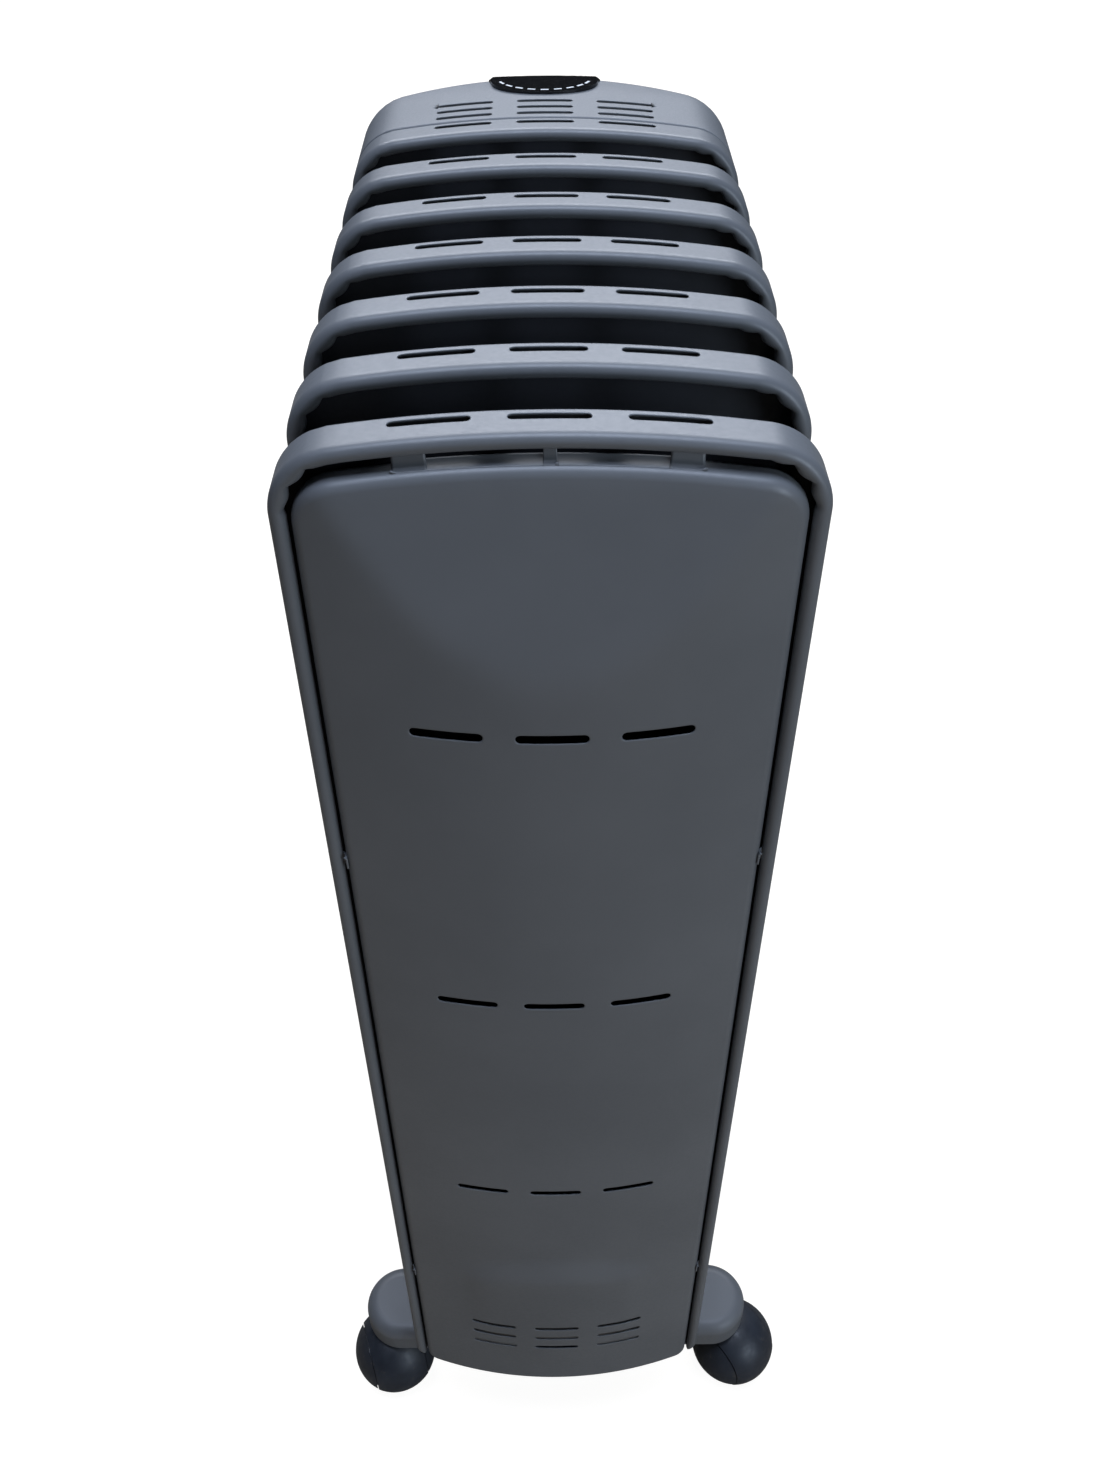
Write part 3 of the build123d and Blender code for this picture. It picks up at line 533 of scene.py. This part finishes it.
def rimPiece(front):
    # The rim: a sheet of distance along the outline by depth, slotted, with the plate's bend
    # behind it and the rolled lip before it, all carried along the outline.
    runs = finRuns(fin["wrap"])
    ends = np.cumsum([length for length, radius in runs])
    total = ends[-1]
    marks = []
    for middle in slotMiddles:
        marks += slotMarks(middle, slotPlan["length"], fin["slotMargin"], fin["slotStep"])
    marks += list(np.linspace(ends[0], ends[1], fin["cornerLines"]))
    marks += list(np.linspace(ends[2], total, fin["footLines"]))
    marks += [-m for m in marks if m > slotPlan["pitch"] * 2]
    s = linesThrough(-total, total, fin["step"], marks)
    y = linesThrough(fin["rollDeep"], fin["depth"] - fin["bend"], fin["depthStep"],
                     slotMarks(fin["slotBack"], slotPlan["height"], rimGrid["border"],
                               rimGrid["across"]))
    plan = np.stack(np.meshgrid(s, y, indexing="ij"), -1)
    slots = [((m, fin["slotBack"]), slotPlan["length"], slotPlan["height"])
             for m in slotMiddles]
    flat, depth, faces = slottedSheet(plan, slots, rimGrid["border"])

    def carried(sv, yv, hv):
        # The lip's inner edge runs straight down past the foot corner, so the lip thins to a tip
        # there, and the sheet steps back behind the tip to let the end cover's foot through.
        # Heights ease to a rounded tongue over the last few millimetres of the outline.
        place, out = alongOutline(sv, runs)
        foot, lipTall = finPlan["footCorner"], 2 * fin["roll"]
        turn = np.clip((np.abs(sv) - ends[2]) / foot, 0, fin["wrap"])
        thin = np.clip((foot - (foot - lipTall) / np.cos(turn)) / lipTall, fin["thinnest"], 1)
        deep = fin["rollDeep"]
        ahead = np.clip((deep - yv) / deep, 0, 1)
        yv = np.where(yv < deep, deep * (1 - ahead * np.sqrt(thin)), yv)
        back = np.clip((fin["depth"] - yv) / (fin["depth"] - deep), 0, 1)
        yv = yv + back * fin["footSeat"] * smoothStep(turn, fin["footFrom"], fin["footTo"])
        hv = np.where(yv < fin["depth"] / 2, hv * thin, hv)
        left = np.clip((total - np.abs(sv)) / fin["tongue"], 0, 1)
        ease = np.sqrt(1 - (1 - left)**2)
        middleY, middleH = fin["depth"] / 2, -fin["roll"]
        yv = middleY + (yv - middleY) * (fin["tongueDeep"] + (1 - fin["tongueDeep"]) * ease)
        hv = middleH + (hv - middleH) * (fin["tongueTall"] + (1 - fin["tongueTall"]) * ease)
        return np.stack([place[:, 0] + out[:, 0] * hv, front + yv,
                         place[:, 1] + out[:, 1] * hv], -1)

    sheet = carried(flat[:, 0], flat[:, 1], -depth)
    rear, lip = rimProfile()
    surfaces = [(sheet, faces)]
    cornerMiddle = (ends[0] + ends[1]) / 2
    cornerHalf = (ends[1] - ends[0]) / 2
    for profile, rolled in ((rear, False), (lip, True)):
        sv = np.repeat(s, len(profile))
        yv = np.tile(profile[:, 0], len(s))
        hv = np.tile(profile[:, 1], len(s))
        if rolled:
            # the pressed lip gathers into scallops where it is forced round the upper corners
            past = (np.abs(sv) - cornerMiddle + fin["wrinkleShift"]) / cornerHalf
            near = smoothStep(fin["wrinkleReach"] - np.abs(past), 0, fin["wrinkleFade"])
            inner = np.clip(-hv / (2 * fin["roll"]), 0, 1)**2
            wave = np.abs(np.cos(past * np.pi * fin["wrinkleCount"] / 2))
            hv = hv - near * inner * (wave - fin["wrinkleLevel"]) * fin["wrinkle"]
        surfaces.append((carried(sv, yv, hv), gridFaces(len(s), len(profile), flip=True)))
    return joined(*surfaces)


def channelHeight(x, z):
    # oil channels: rise of the sheet near the centre lines of a ring, a middle riser and two hubs
    top, low = finTop - fin["hubUp"], finFoot + fin["hubDown"]
    span, half = fin["span"], fin["channel"] / 2
    tall = (top - low) / 2
    middle = (top + low) / 2
    past, corner = np.abs(z - middle) - tall, fin["channelCorner"]
    qx, qz = np.abs(x) - span + corner, past + corner
    ring = np.abs(np.minimum(np.maximum(qx, qz), 0)
                  + np.hypot(np.maximum(qx, 0), np.maximum(qz, 0)) - corner)
    riser = np.hypot(x, np.maximum(past, 0))
    hubs = np.minimum(np.hypot(x, z - top), np.hypot(x, z - low)) - (fin["hub"] - half)
    near = np.minimum(np.minimum(ring, riser), hubs)
    return fin["rise"] * smoothStep(half - near, 0, fin["slope"])


def outlineTop(x, plan, inset):
    # height of the arched top with its round corners at each x, and that of the corners' centres
    arch, corner = plan["arch"] - inset, plan["corner"] - inset
    across = plan["half"] - inset - corner
    archZ = plan["top"] - inset - arch
    cornerZ = archZ + math.sqrt((arch - corner)**2 - across**2)
    tangent = across * arch / (arch - corner)
    x = np.abs(x)
    onArch = archZ + np.sqrt(arch**2 - np.minimum(x, tangent)**2)
    onCorner = cornerZ + np.sqrt(np.maximum(corner**2 - np.maximum(x - across, 0)**2, 0))
    return np.where(x <= tangent, onArch, onCorner), cornerZ


def outlineFoot(x, plan, inset):
    # height of the flat foot with its round corners at each x, and that of the corners' centres
    corner = plan["footCorner"] - inset
    across = plan["half"] - inset - corner
    cornerZ = plan["foot"] + inset + corner
    past = np.maximum(np.abs(x) - across, 0)
    return cornerZ - np.sqrt(np.maximum(corner**2 - past**2, 0)), cornerZ


# The grid in an outline has upright lines at the upper corners, and at the foot corners where they
# are under smallShare of the upper ones, from smallFrom radians on. Such lines are nearest mm apart
# or more. Level lines start to bend at ease mm before the corners' centres.
outlineGrid = dict(cornerLines=10, smallShare=0.6, smallLines=5, smallFrom=0.2, nearest=0.05,
                   ease=30.0)


def filledOutline(plan, inset, xMarks, zMarks, xStep, zStep):
    # grid that fills an outline: upright lines at each x, level lines at each z, the first and
    # last of them bent to follow the foot and the top
    corner = plan["corner"] - inset
    across = plan["half"] - inset - corner
    turn = np.linspace(0, np.pi / 2, outlineGrid["cornerLines"])
    cornerX = list(across + corner * np.sin(turn))
    smallCorner = plan["footCorner"] - inset
    smallAcross = plan["half"] - inset - smallCorner
    if smallCorner < corner * outlineGrid["smallShare"]:
        turn = np.linspace(outlineGrid["smallFrom"], np.pi / 2, outlineGrid["smallLines"])
        cornerX += list(smallAcross + smallCorner * np.sin(turn))
    kept = []
    for value in sorted(list(xMarks) + cornerX):
        if value >= 0 and (not kept or value - kept[-1] > outlineGrid["nearest"]):
            kept.append(value)
    half = plan["half"] - inset
    x = linesThrough(-half, half, xStep, kept + [-v for v in kept])
    top, topCorner = outlineTop(x, plan, inset)
    foot, footCorner = outlineFoot(x, plan, inset)
    high, low = top.max(), foot.min()
    z = linesThrough(low, high, zStep, list(zMarks) + [topCorner, footCorner])
    ease = outlineGrid["ease"]
    upper = np.clip((z - (topCorner - ease)) / (high - topCorner + ease), 0, 1)
    lower = np.clip(((footCorner + ease) - z) / (footCorner + ease - low), 0, 1)
    bent = (z[None, :] + (top[:, None] - high) * upper[None, :]
            + (foot[:, None] - low) * lower[None, :])
    return np.stack([np.repeat(x[:, None], len(z), 1), bent], -1)


def platePiece(front):
    # The plate: two sheets back to back, each a grid over the outline raised by the channels.
    plan = filledOutline(finPlan, fin["sheet"], [], [], fin["plateStep"], fin["plateStep"])
    nu, nv = plan.shape[:2]
    flat = plan.reshape(-1, 2)
    rise = channelHeight(flat[:, 0], flat[:, 1])
    surfaces = []
    for side, middle in ((-1, fin["depth"] - fin["plateGap"]), (1, fin["depth"])):
        y = front + middle + side * rise
        surfaces.append((np.stack([flat[:, 0], y, flat[:, 1]], -1),
                         gridFaces(nu, nv, flip=side > 0)))
    return joined(*surfaces)


def makeFin(index):
    front = finFronts[index]
    name = f"fin_{index + 1}"
    rim = makePiece(f"{name}_rim", *rimPiece(front), "radiator", "grey_enamel",
                    replaced=(name,))
    finishMesh(rim, thick=fin["sheet"])
    # the plates take the darker coat: painted shade for the deep gaps between the fins
    plate = makePiece(f"{name}_plate", *platePiece(front), "radiator", "grey_enamel", plateShadeCoat)
    finishMesh(plate)


for finIndex in range(finCount):
    makeFin(finIndex)
print("fins made")


# Bowed shells: a face of height over an outline, rolled at its edge and returned as a flange

edgeLines = 8  # round the rolled edge
flangeLead = 0.8  # from the end of the roll to the flange's first whole line


def faceSlots(drops, height):
    # slots in rows at drops below the fins' top, and the grid lines that they need in x and in z
    slots = [((middle, finTop - drop), slotPlan["length"], height)
             for middle in slotMiddles for drop in drops]
    border, along, across = faceGrid["border"], faceGrid["along"], faceGrid["across"]
    xMarks = [slotMarks(middle, slotPlan["length"], border, along) for middle in slotMiddles]
    zMarks = [slotMarks(finTop - drop, height, border, across) for drop in drops]
    return slots, sum(xMarks, []), sum(zMarks, [])


def shellPiece(plan, edge, height, flangeEnd, direction, slots, xMarks, zMarks, steps,
               flangeSlots=(), flangeMarks=()):
    # face: a slotted grid over the outline drawn in by the edge radius, at depth height(x, z).
    # edge: a quarter turn, then a flange along Y to flangeEnd. direction is +1 if the flange
    # runs towards +Y from the face, -1 if it runs back. steps are in x, in z and on the flange.
    grid = filledOutline(plan, edge, xMarks, zMarks, steps[0], steps[1])
    flat, depth, faces = slottedSheet(grid, slots, faceGrid["border"])
    y = height(flat[:, 0], flat[:, 1]) + direction * depth
    face = np.stack([flat[:, 0], y, flat[:, 1]], -1)
    nu, nv = grid.shape[:2]
    # border in clockwise order seen from the front, from the left end of the top
    border = ([(i, nv - 1) for i in range(nu)] + [(nu - 1, j) for j in range(nv - 2, -1, -1)]
              + [(i, 0) for i in range(nu - 2, -1, -1)] + [(0, j) for j in range(1, nv - 1)])
    border = np.array(border)
    base = grid[border[:, 0], border[:, 1]]
    ahead, behind = np.roll(base, -1, 0), np.roll(base, 1, 0)
    tangent = ((ahead - base) / np.linalg.norm(ahead - base, axis=1)[:, None]
               + (base - behind) / np.linalg.norm(base - behind, axis=1)[:, None])
    tangent /= np.linalg.norm(tangent, axis=1)[:, None]
    out = np.stack([-tangent[:, 1], tangent[:, 0]], -1)
    rings = []
    for turn in np.linspace(0, np.pi / 2, edgeLines):
        spot = base + out * edge * math.sin(turn)
        ringY = height(spot[:, 0], spot[:, 1]) + direction * edge * (1 - math.cos(turn))
        rings.append(np.stack([spot[:, 0], ringY, spot[:, 1]], -1))
    n = len(base)
    roll = np.stack(rings, 1)
    surfaces = [(face, faces), (roll.reshape(-1, 3), gridFaces(n, len(rings), closed=True))]
    # flange: distance round the border by Y, its first line on the end of the roll
    last = rings[-1]
    outer = last[:, [0, 2]]
    stretches = np.linalg.norm(np.roll(outer, -1, 0) - outer, axis=1)
    travel = np.concatenate([[0], np.cumsum(stretches)])
    rollEnd = float(last[:, 1].max() if direction > 0 else last[:, 1].min())
    low, high = sorted((rollEnd + direction * flangeLead, flangeEnd))
    yLines = linesThrough(low, high, steps[2], flangeMarks)
    if direction < 0:
        yLines = yLines[::-1]
    columns = np.concatenate([np.arange(n), [0]])
    # distances start from the crown, so that slots in the top can be placed by their x
    travel = travel - travel[nu // 2]
    gridS = np.repeat(travel[:, None], len(yLines) + 1, 1)
    gridY = np.concatenate([last[columns, 1][:, None], np.repeat(yLines[None, :], n + 1, 0)], 1)
    flat, depth, faces = slottedSheet(np.stack([gridS, gridY], -1), flangeSlots,
                                      rimGrid["border"])
    ox, oz, nx, nz = (np.interp(flat[:, 0], travel, way[columns, k])
                      for way in (outer, out) for k in (0, 1))
    surfaces.append((np.stack([ox - nx * depth, flat[:, 1], oz - nz * depth], -1), faces))
    return joined(*surfaces)


# tabMiddle and tabAside are shares of tabWidth, tabTaper of a hook's width, tabSheet of the sheet
cover = dict(radius=217.0, inset=6.4, topInset=8.8, footGap=1.0, sheet=1.0, edge=3.1,
             steps=(3.2, 5.0, 1.5), scoopDrop=80.0, scoopSlope=0.155, scoopBlend=1.0, padRise=3.0,
             padTop=454.0, padBand=18.0, padBandRadius=156.0, padReturn=105.0,
             padReturnRadius=195.0, padFade=(34.0, 54.0), padBlend=0.2, slotHeight=3.8,
             rows=(100.0, 241.0, 386.0), vents=(530.0, 542.3, 554.6), tabTop=(-39.0, 0.0, 38.0),
             tabSide=(171.0, 491.0), tabWidth=10.5, tabMiddle=0.4, tabAside=0.55, tabTaper=0.12,
             tabBarb=1.0, tabSheet=0.7, tabLay=5.0, tabBack=0.5, tabSink=0.38, tabRise=6.9,
             tabSideRise=4.6, tabLines=(13, 12), stripRise=1.2, stripLines=41)
coverFront = coverLow[1] + cover["padRise"]
coverBack = coverHigh[1]
coverPlan = dict(half=finHalf - cover["inset"], top=finTop - cover["topInset"],
                 foot=finFoot + cover["footGap"], arch=finPlan["arch"] - cover["topInset"],
                 corner=finPlan["corner"] - cover["inset"],
                 footCorner=finPlan["footCorner"] - cover["inset"])


def coverHeight(x, z):
    # Bowed face, met near its top by a leaning plane. Low down a pad stands out, bounded by two
    # more tightly bowed faces, one leaning out over padBand and one leaning back over padReturn.
    bowed = coverFront + bow(x, cover["radius"])
    lean = coverFront + cover["scoopSlope"] * (z - (finTop - cover["scoopDrop"]))
    face = softMax(bowed, lean, cover["scoopBlend"])
    rise, down = cover["padRise"], finTop - cover["padTop"] - z
    band = coverFront - rise * down / cover["padBand"] + bow(x, cover["padBandRadius"])
    back = (coverFront - rise + rise * (down - cover["padBand"]) / cover["padReturn"]
            + bow(x, cover["padReturnRadius"]))
    proud = bowed - softMax(band, back, cover["padBlend"])
    proud = softMax(proud, 0 * proud, cover["padBlend"]) - cover["padBlend"] / 4
    return face - np.maximum(proud, 0) * (1 - smoothStep(np.abs(x), *cover["padFade"]))


def makeCover():
    slotGrid = faceSlots(cover["rows"] + cover["vents"], cover["slotHeight"])
    points, faces = shellPiece(coverPlan, cover["edge"], coverHeight, coverBack, 1, *slotGrid,
                               cover["steps"])
    obj = makePiece("end_cover_pressing", points, faces, "radiator", "grey_enamel",
                    replaced=("end_cover",))
    finishMesh(obj, thick=cover["sheet"])


makeCover()


def makeTongue(name, across, reach, spot):
    # A tongue pressed from the cover's flange. It lies along the flange, then curls up by reach
    # behind the rolled lip. Two parameters, across it and along it, and spot gives x and z.
    aa, bb = np.meshgrid(across, np.linspace(0, 1, cover["tabLines"][1]), indexing="ij")
    lift = reach * bb**3 - cover["tabSink"]
    depth = coverBack - cover["tabLay"] * (1 - bb) - cover["tabBack"]
    x, z = spot(aa, bb, lift)
    obj = makePiece(name, np.stack([x, depth, z], -1).reshape(-1, 3), gridFaces(*aa.shape),
                    "radiator", "grey_enamel")
    finishMesh(obj, thick=cover["tabSheet"] * cover["sheet"], offset=0.0)


def makeHook(place, out, along, width, reach, name):
    # A hook: a tongue that narrows a little. A sixth of its width and the first third of its
    # length, at the outer front corner, stand up as a barb.
    def spot(aa, bb, lift):
        half = width / 2 * (1 - cover["tabTaper"] * bb)
        barb = cover["tabBarb"] * np.clip(aa * 3 - 2, 0, 1) * np.clip(1 - bb * 3, 0, 1)
        return (place[0] + along[0] * aa * half + out[0] * (lift + barb),
                place[1] + along[1] * aa * half + out[1] * (lift + barb))

    makeTongue(name, np.linspace(-1, 1, cover["tabLines"][0]), reach, spot)


def makeTopHooks():
    for number, x in enumerate(cover["tabTop"]):
        z = float(outlineTop(np.array([x]), coverPlan, 0.0)[0][0])
        tilt = math.asin(x / coverPlan["arch"])
        side = -1 if x < 0 else 1
        wide = cover["tabWidth"] if x else cover["tabMiddle"] * cover["tabWidth"]
        makeHook((x, z), (math.sin(tilt), math.cos(tilt)),
                 (side * math.cos(tilt), -side * math.sin(tilt)), wide, cover["tabRise"],
                 f"cover_hook_top_{number + 1}")


def makeSideHooks():
    for number, drop in enumerate(cover["tabSide"]):
        for side, word in ((-1, "left"), (1, "right")):
            makeHook((side * coverPlan["half"], finTop - drop), (side, 0), (0, 1),
                     cover["tabAside"] * cover["tabWidth"], cover["tabSideRise"],
                     f"cover_hook_{word}_{number + 1}")


def makeStrip():
    # a lower tongue that joins the top hooks and follows the cover's arch
    def spot(aa, bb, lift):
        return (aa * (1 + lift / coverPlan["arch"]),
                outlineTop(aa[:, 0], coverPlan, 0.0)[0][:, None] + lift)

    across = np.linspace(cover["tabTop"][0], cover["tabTop"][-1], cover["stripLines"])
    makeTongue("cover_hook_strip", across, cover["stripRise"], spot)


makeTopHooks()
makeStrip()
makeSideHooks()
print("end cover made")


# Control housing and fascia

housing = dict(radius=217.0, wall=2.4, edge=6.0, steps=(3.4, 6.0, 3.0), firstRow=5.9,
               rowStep=7.6, roofRows=3, rows=(260.0, 386.0), vents=cover["vents"])
housingFront = housingLow[1]
housingRear = housingHigh[1]


def housingHeight(x, z):
    # bowed rear face, upright
    return housingRear - bow(x, housing["radius"])


def makeHousing():
    slotGrid = faceSlots(housing["rows"] + housing["vents"], slotPlan["height"])
    roofRows = [housingFront + housing["firstRow"] + row * housing["rowStep"]
                for row in range(housing["roofRows"])]
    roofSlots = [((middle, y), slotPlan["length"], slotPlan["height"])
                 for middle in slotMiddles for y in roofRows]
    yMarks = [slotMarks(y, slotPlan["height"], rimGrid["border"], rimGrid["across"])
              for y in roofRows]
    points, faces = shellPiece(finPlan, housing["edge"], housingHeight, housingFront, -1,
                               *slotGrid, housing["steps"], roofSlots, sum(yMarks, []))
    obj = makePiece("control_housing_shell", points, faces[:, ::-1], "radiator", "grey_plastic",
                    replaced=("control_housing",))
    finishMesh(obj, thick=housing["wall"])


makeHousing()
print("control housing made")


# The fascia's face is unrolled: x across it, t along its path from where its rear bend starts
fascia = dict(half=25.2, rise=1.1, reach=20.8, drop=168.0, wall=2.0, edge=0.15, step=1.6,
              lines=61, flatten=0.35, roof=0.94, widen=(1.2, 4.0), pinch=0.08, pinchAt=0.55,
              pinchFall=3.0, fullness=0.8, marks=9, markSpread=64.0, markRing=0.87,
              markLength=3.6, markWidth=1.1, markRise=0.05, markLines=9)


def fasciaSpot(x, t, lift=0.0):
    # Flat over the roof while t is below 0, then a quarter turn, then straight down the rear face.
    # It bulges less than the housing, by the share flatten. It is narrower on the roof, most of all
    # where it turns down.
    turn = housing["edge"] + fascia["rise"]
    bend = np.clip(t / turn, 0, math.pi / 2)
    flatten = fascia["flatten"]
    start = housingRear - flatten * bow(x, housing["radius"]) - housing["edge"]
    y = start + np.minimum(t, 0) + (turn + lift) * np.sin(bend)
    z = (finTop - flatten * bow(x, finPlan["arch"]) - housing["edge"] + (turn + lift) * np.cos(bend)
         - np.maximum(t - turn * math.pi / 2, 0))
    wider = smoothStep(t, fascia["widen"][0] * turn, fascia["widen"][1] * turn)
    share = (fascia["roof"] + (1 - fascia["roof"]) * wider
             - fascia["pinch"] * np.exp(-fascia["pinchFall"] * (t / turn - fascia["pinchAt"])**2))
    return np.stack([x * share, y, z], -1)


def panelTravel(x, z):
    # the travel t at which the fascia's path comes down to height z on the rear face
    bendLength = (housing["edge"] + fascia["rise"]) * math.pi / 2
    return (bendLength + finTop - fascia["flatten"] * bow(x, finPlan["arch"]) - housing["edge"]
            - z)


def makeFascia():
    # across: half an ellipse's sine, so that the grid follows the half-moon's edge on the roof
    # and the round foot on the rear face; along: evenly from one to the other
    across = np.linspace(-1, 1, fascia["lines"]) * math.pi / 2
    x, roundness = fascia["half"] * np.sin(across), np.cos(across)
    near = -fascia["reach"] * roundness**fascia["fullness"]
    far = panelTravel(x, finTop - fascia["drop"] + fascia["half"] * (1 - roundness))
    along = np.linspace(0, 1, int(fascia["drop"] / fascia["step"]))
    t = near[:, None] + (far - near)[:, None] * along[None, :]
    points = fasciaSpot(np.repeat(x[:, None], len(along), 1), t).reshape(-1, 3)
    obj = makePiece("control_fascia_face", points, gridFaces(len(x), len(along)), "radiator",
                    "gloss_black", replaced=("control_fascia",))
    finishMesh(obj, thick=fascia["wall"], bevel=fascia["edge"])


def barGrid(middle, heading, length, width, lines):
    # a small flat grid about middle, with its long way along heading
    along, side = np.meshgrid(np.linspace(-0.5, 0.5, lines), np.linspace(-0.5, 0.5, 3),
                              indexing="ij")
    u, v = along * length, side * width
    return (middle[0] + u * heading[0] - v * heading[1],
            middle[1] + u * heading[1] + v * heading[0])


def makeFasciaMarks():
    # plain dashes of white ink in a ring inside the half-moon's edge: each is a small grid along
    # the ellipse, laid on the face
    surfaces = []
    for angle in np.linspace(-1, 1, fascia["marks"]) * math.radians(fascia["markSpread"]):
        size = np.array([fascia["half"], fascia["reach"]]) * fascia["markRing"]
        middle = np.array([math.sin(angle), -math.cos(angle)]) * size
        heading = np.array([math.cos(angle), math.sin(angle)]) * size
        heading /= np.linalg.norm(heading)
        x, t = barGrid(middle, heading, fascia["markLength"], fascia["markWidth"],
                       fascia["markLines"])
        surfaces.append((fasciaSpot(x, t, fascia["markRise"]), gridFaces(*x.shape)))
    makePiece("control_fascia_marks", *joined(*surfaces), "radiator", "gloss_black", ink)


dial = dict(ticks=7, turn=270.0, ring=22.4, length=2.0, narrow=0.5, wide=1.3,
            stageUp=15.0, stageLength=3.4, stageWidth=0.8, stageStep=1.9, lines=5)


def panelMark(middle, heading, length, width):
    # a printed bar on the rear face: a small grid about middle (x, z), laid on the face
    x, z = barGrid(middle, heading, length, width, dial["lines"])
    return fasciaSpot(x, panelTravel(x, z), fascia["markRise"]), gridFaces(*x.shape, flip=True)


def makeDial():
    # ticks round the knob, wider as the heat rises, clockwise from the knob's pointer at rest,
    # and one and two bars over the switches for the two heating stages
    surfaces = []
    for share in np.linspace(0, 1, dial["ticks"]):
        angle = math.radians(share * dial["turn"])
        heading = (math.cos(angle), math.sin(angle))
        middle = (dial["ring"] * heading[0], knobMiddle[2] + dial["ring"] * heading[1])
        wide = dial["narrow"] + (dial["wide"] - dial["narrow"]) * share
        surfaces.append(panelMark(middle, heading, dial["length"], wide))
    for node, offsets in (("rocker_low", (0.0,)), ("rocker_high", (-0.5, 0.5))):
        x, _, z = middleOf(node)
        for offset in offsets:
            surfaces.append(panelMark((x + offset * dial["stageStep"], z + dial["stageUp"]),
                                      (0.0, 1.0), dial["stageLength"], dial["stageWidth"]))
    makePiece("control_dial_marks", *joined(*surfaces), "radiator", "gloss_black", ink)


makeFascia()
makeFasciaMarks()
makeDial()
print("fascia made")


# Stage, light and camera

stageSet = dict(size=9000.0, floor="#8A8378", floorGlow=0.94, worldLight=0.02,
                backdrop="#FFFFFF")
view = dict(place=(-1.3607, -473.99, 851.657), pitch=43.2593, yaw=0.4856, roll=-0.246,
            focal=1322.33, centre=(556.32, 750.02), image=(1100, 1467), clip=(0.01, 50.0))


def cameraSees(tree):
    # 1 for a ray from the camera, straight or through something clear, 0 for any other
    path = addNode(tree, "LightPath").outputs
    return addNode(tree, "Math", {"operation": "MAXIMUM"},
                   {0: path["Is Camera Ray"], 1: path["Is Transmission Ray"]}).outputs[0]


def makeFloor():
    # a flat plane that shows white to the camera and keeps its own shadow
    size = stageSet["size"] * mm / 2
    mesh = bpy.data.meshes.new("floor")
    mesh.from_pydata([(-size, -size, 0), (size, -size, 0), (size, size, 0), (-size, size, 0)],
                     [], [(0, 1, 2, 3)])
    obj = bpy.data.objects.new("floor", mesh)
    bpy.context.scene.collection.objects.link(obj)
    material = newMaterial("paleFloor", {"Roughness": 0.9, "IOR": 1.3,
                                         "Base Color": linear(stageSet["floor"])})
    tree = material.node_tree
    surface = tree.nodes["Principled BSDF"]
    strength = addNode(tree, "Math", {"operation": "MULTIPLY", 1: stageSet["floorGlow"]},
                       {0: cameraSees(tree)})
    glow = addNode(tree, "Emission", (), {"Strength": strength.outputs[0]})
    both = addNode(tree, "AddShader", (), {0: surface.outputs[0], 1: glow.outputs[0]})
    tree.links.new(both.outputs[0], tree.nodes["result"].inputs["Surface"])
    mesh.materials.append(material)


def makeWorld():
    # even dim surroundings, white where the camera sees them
    world = bpy.data.worlds.new("studio")
    bpy.context.scene.world = world
    world.use_nodes = True
    tree = world.node_tree
    tree.nodes.clear()
    level = addNode(tree, "MapRange", {"To Min": stageSet["worldLight"], "To Max": 1.0},
                    {"Value": cameraSees(tree)})
    back = addNode(tree, "Background", {"Color": linear(stageSet["backdrop"])},
                   {"Strength": level.outputs[0]})
    addNode(tree, "OutputWorld", (), {"Surface": back.outputs[0]})


def addLamp(name, place, target, size, power, tint, mirrored=True):
    # a soft rectangular lamp at place (mm) that faces target (mm), never seen itself; mirrored
    # says whether gloss reflects it
    lamp = bpy.data.lights.new(name, "AREA")
    lamp.shape = "RECTANGLE"
    lamp.size, lamp.size_y = size[0] * mm, size[1] * mm
    lamp.energy = power
    lamp.color = linear(tint)[:3]
    obj = bpy.data.objects.new(name, lamp)
    obj.location = Vector(place) * mm
    aim = (Vector(target) - Vector(place)).normalized()
    obj.rotation_euler = aim.to_track_quat("-Z", "Y").to_euler()
    obj.visible_camera, obj.visible_glossy = False, mirrored
    bpy.context.scene.collection.objects.link(obj)


def makeCamera():
    # the photograph's own viewpoint, from the fitted pitch, yaw, roll and focal length in pixels
    data = bpy.data.cameras.new("viewpoint")
    obj = bpy.data.objects.new("viewpoint", data)
    bpy.context.scene.collection.objects.link(obj)
    pitch, yaw, roll = (math.radians(view[k]) for k in ("pitch", "yaw", "roll"))
    forward = Vector((math.sin(yaw) * math.cos(pitch), math.cos(yaw) * math.cos(pitch),
                      -math.sin(pitch)))
    right = forward.cross(Vector((0, 0, 1))).normalized()
    up = right.cross(forward)
    tiltedRight = right * math.cos(roll) + up * math.sin(roll)
    tiltedUp = up * math.cos(roll) - right * math.sin(roll)
    turn = Matrix((tiltedRight, tiltedUp, -forward)).transposed()
    obj.matrix_world = Matrix.Translation(Vector(view["place"]) * mm) @ turn.to_4x4()
    wide, tall = view["image"]
    data.sensor_width = 36.0
    data.sensor_fit = "AUTO"
    data.lens = view["focal"] / tall * data.sensor_width
    data.shift_x = -(view["centre"][0] - wide / 2) / tall
    data.shift_y = (view["centre"][1] - tall / 2) / tall
    data.clip_start, data.clip_end = view["clip"]
    bpy.context.scene.camera = obj


makeFloor()
makeWorld()
addLamp("overhead key", (0, -250, 2600), (0, -120, 600), (1400, 900), 40.0, "#D8E6FF")
addLamp("back light", (0, 2300, 2500), (0, 0, 500), (2600, 1600), 84.0, "#EEF4FF")
addLamp("right front fill", (1500, -1600, 1000), (0, -100, 350), (1000, 1200), 18.0, "#DEEEFF")
addLamp("low front fill", (100, -1300, 120), (20, -170, 110), (900, 200), 1.4, "#FFE6CC", False)
makeCamera()
bpy.context.scene.view_settings.view_transform = "Standard"
print("stage ready")
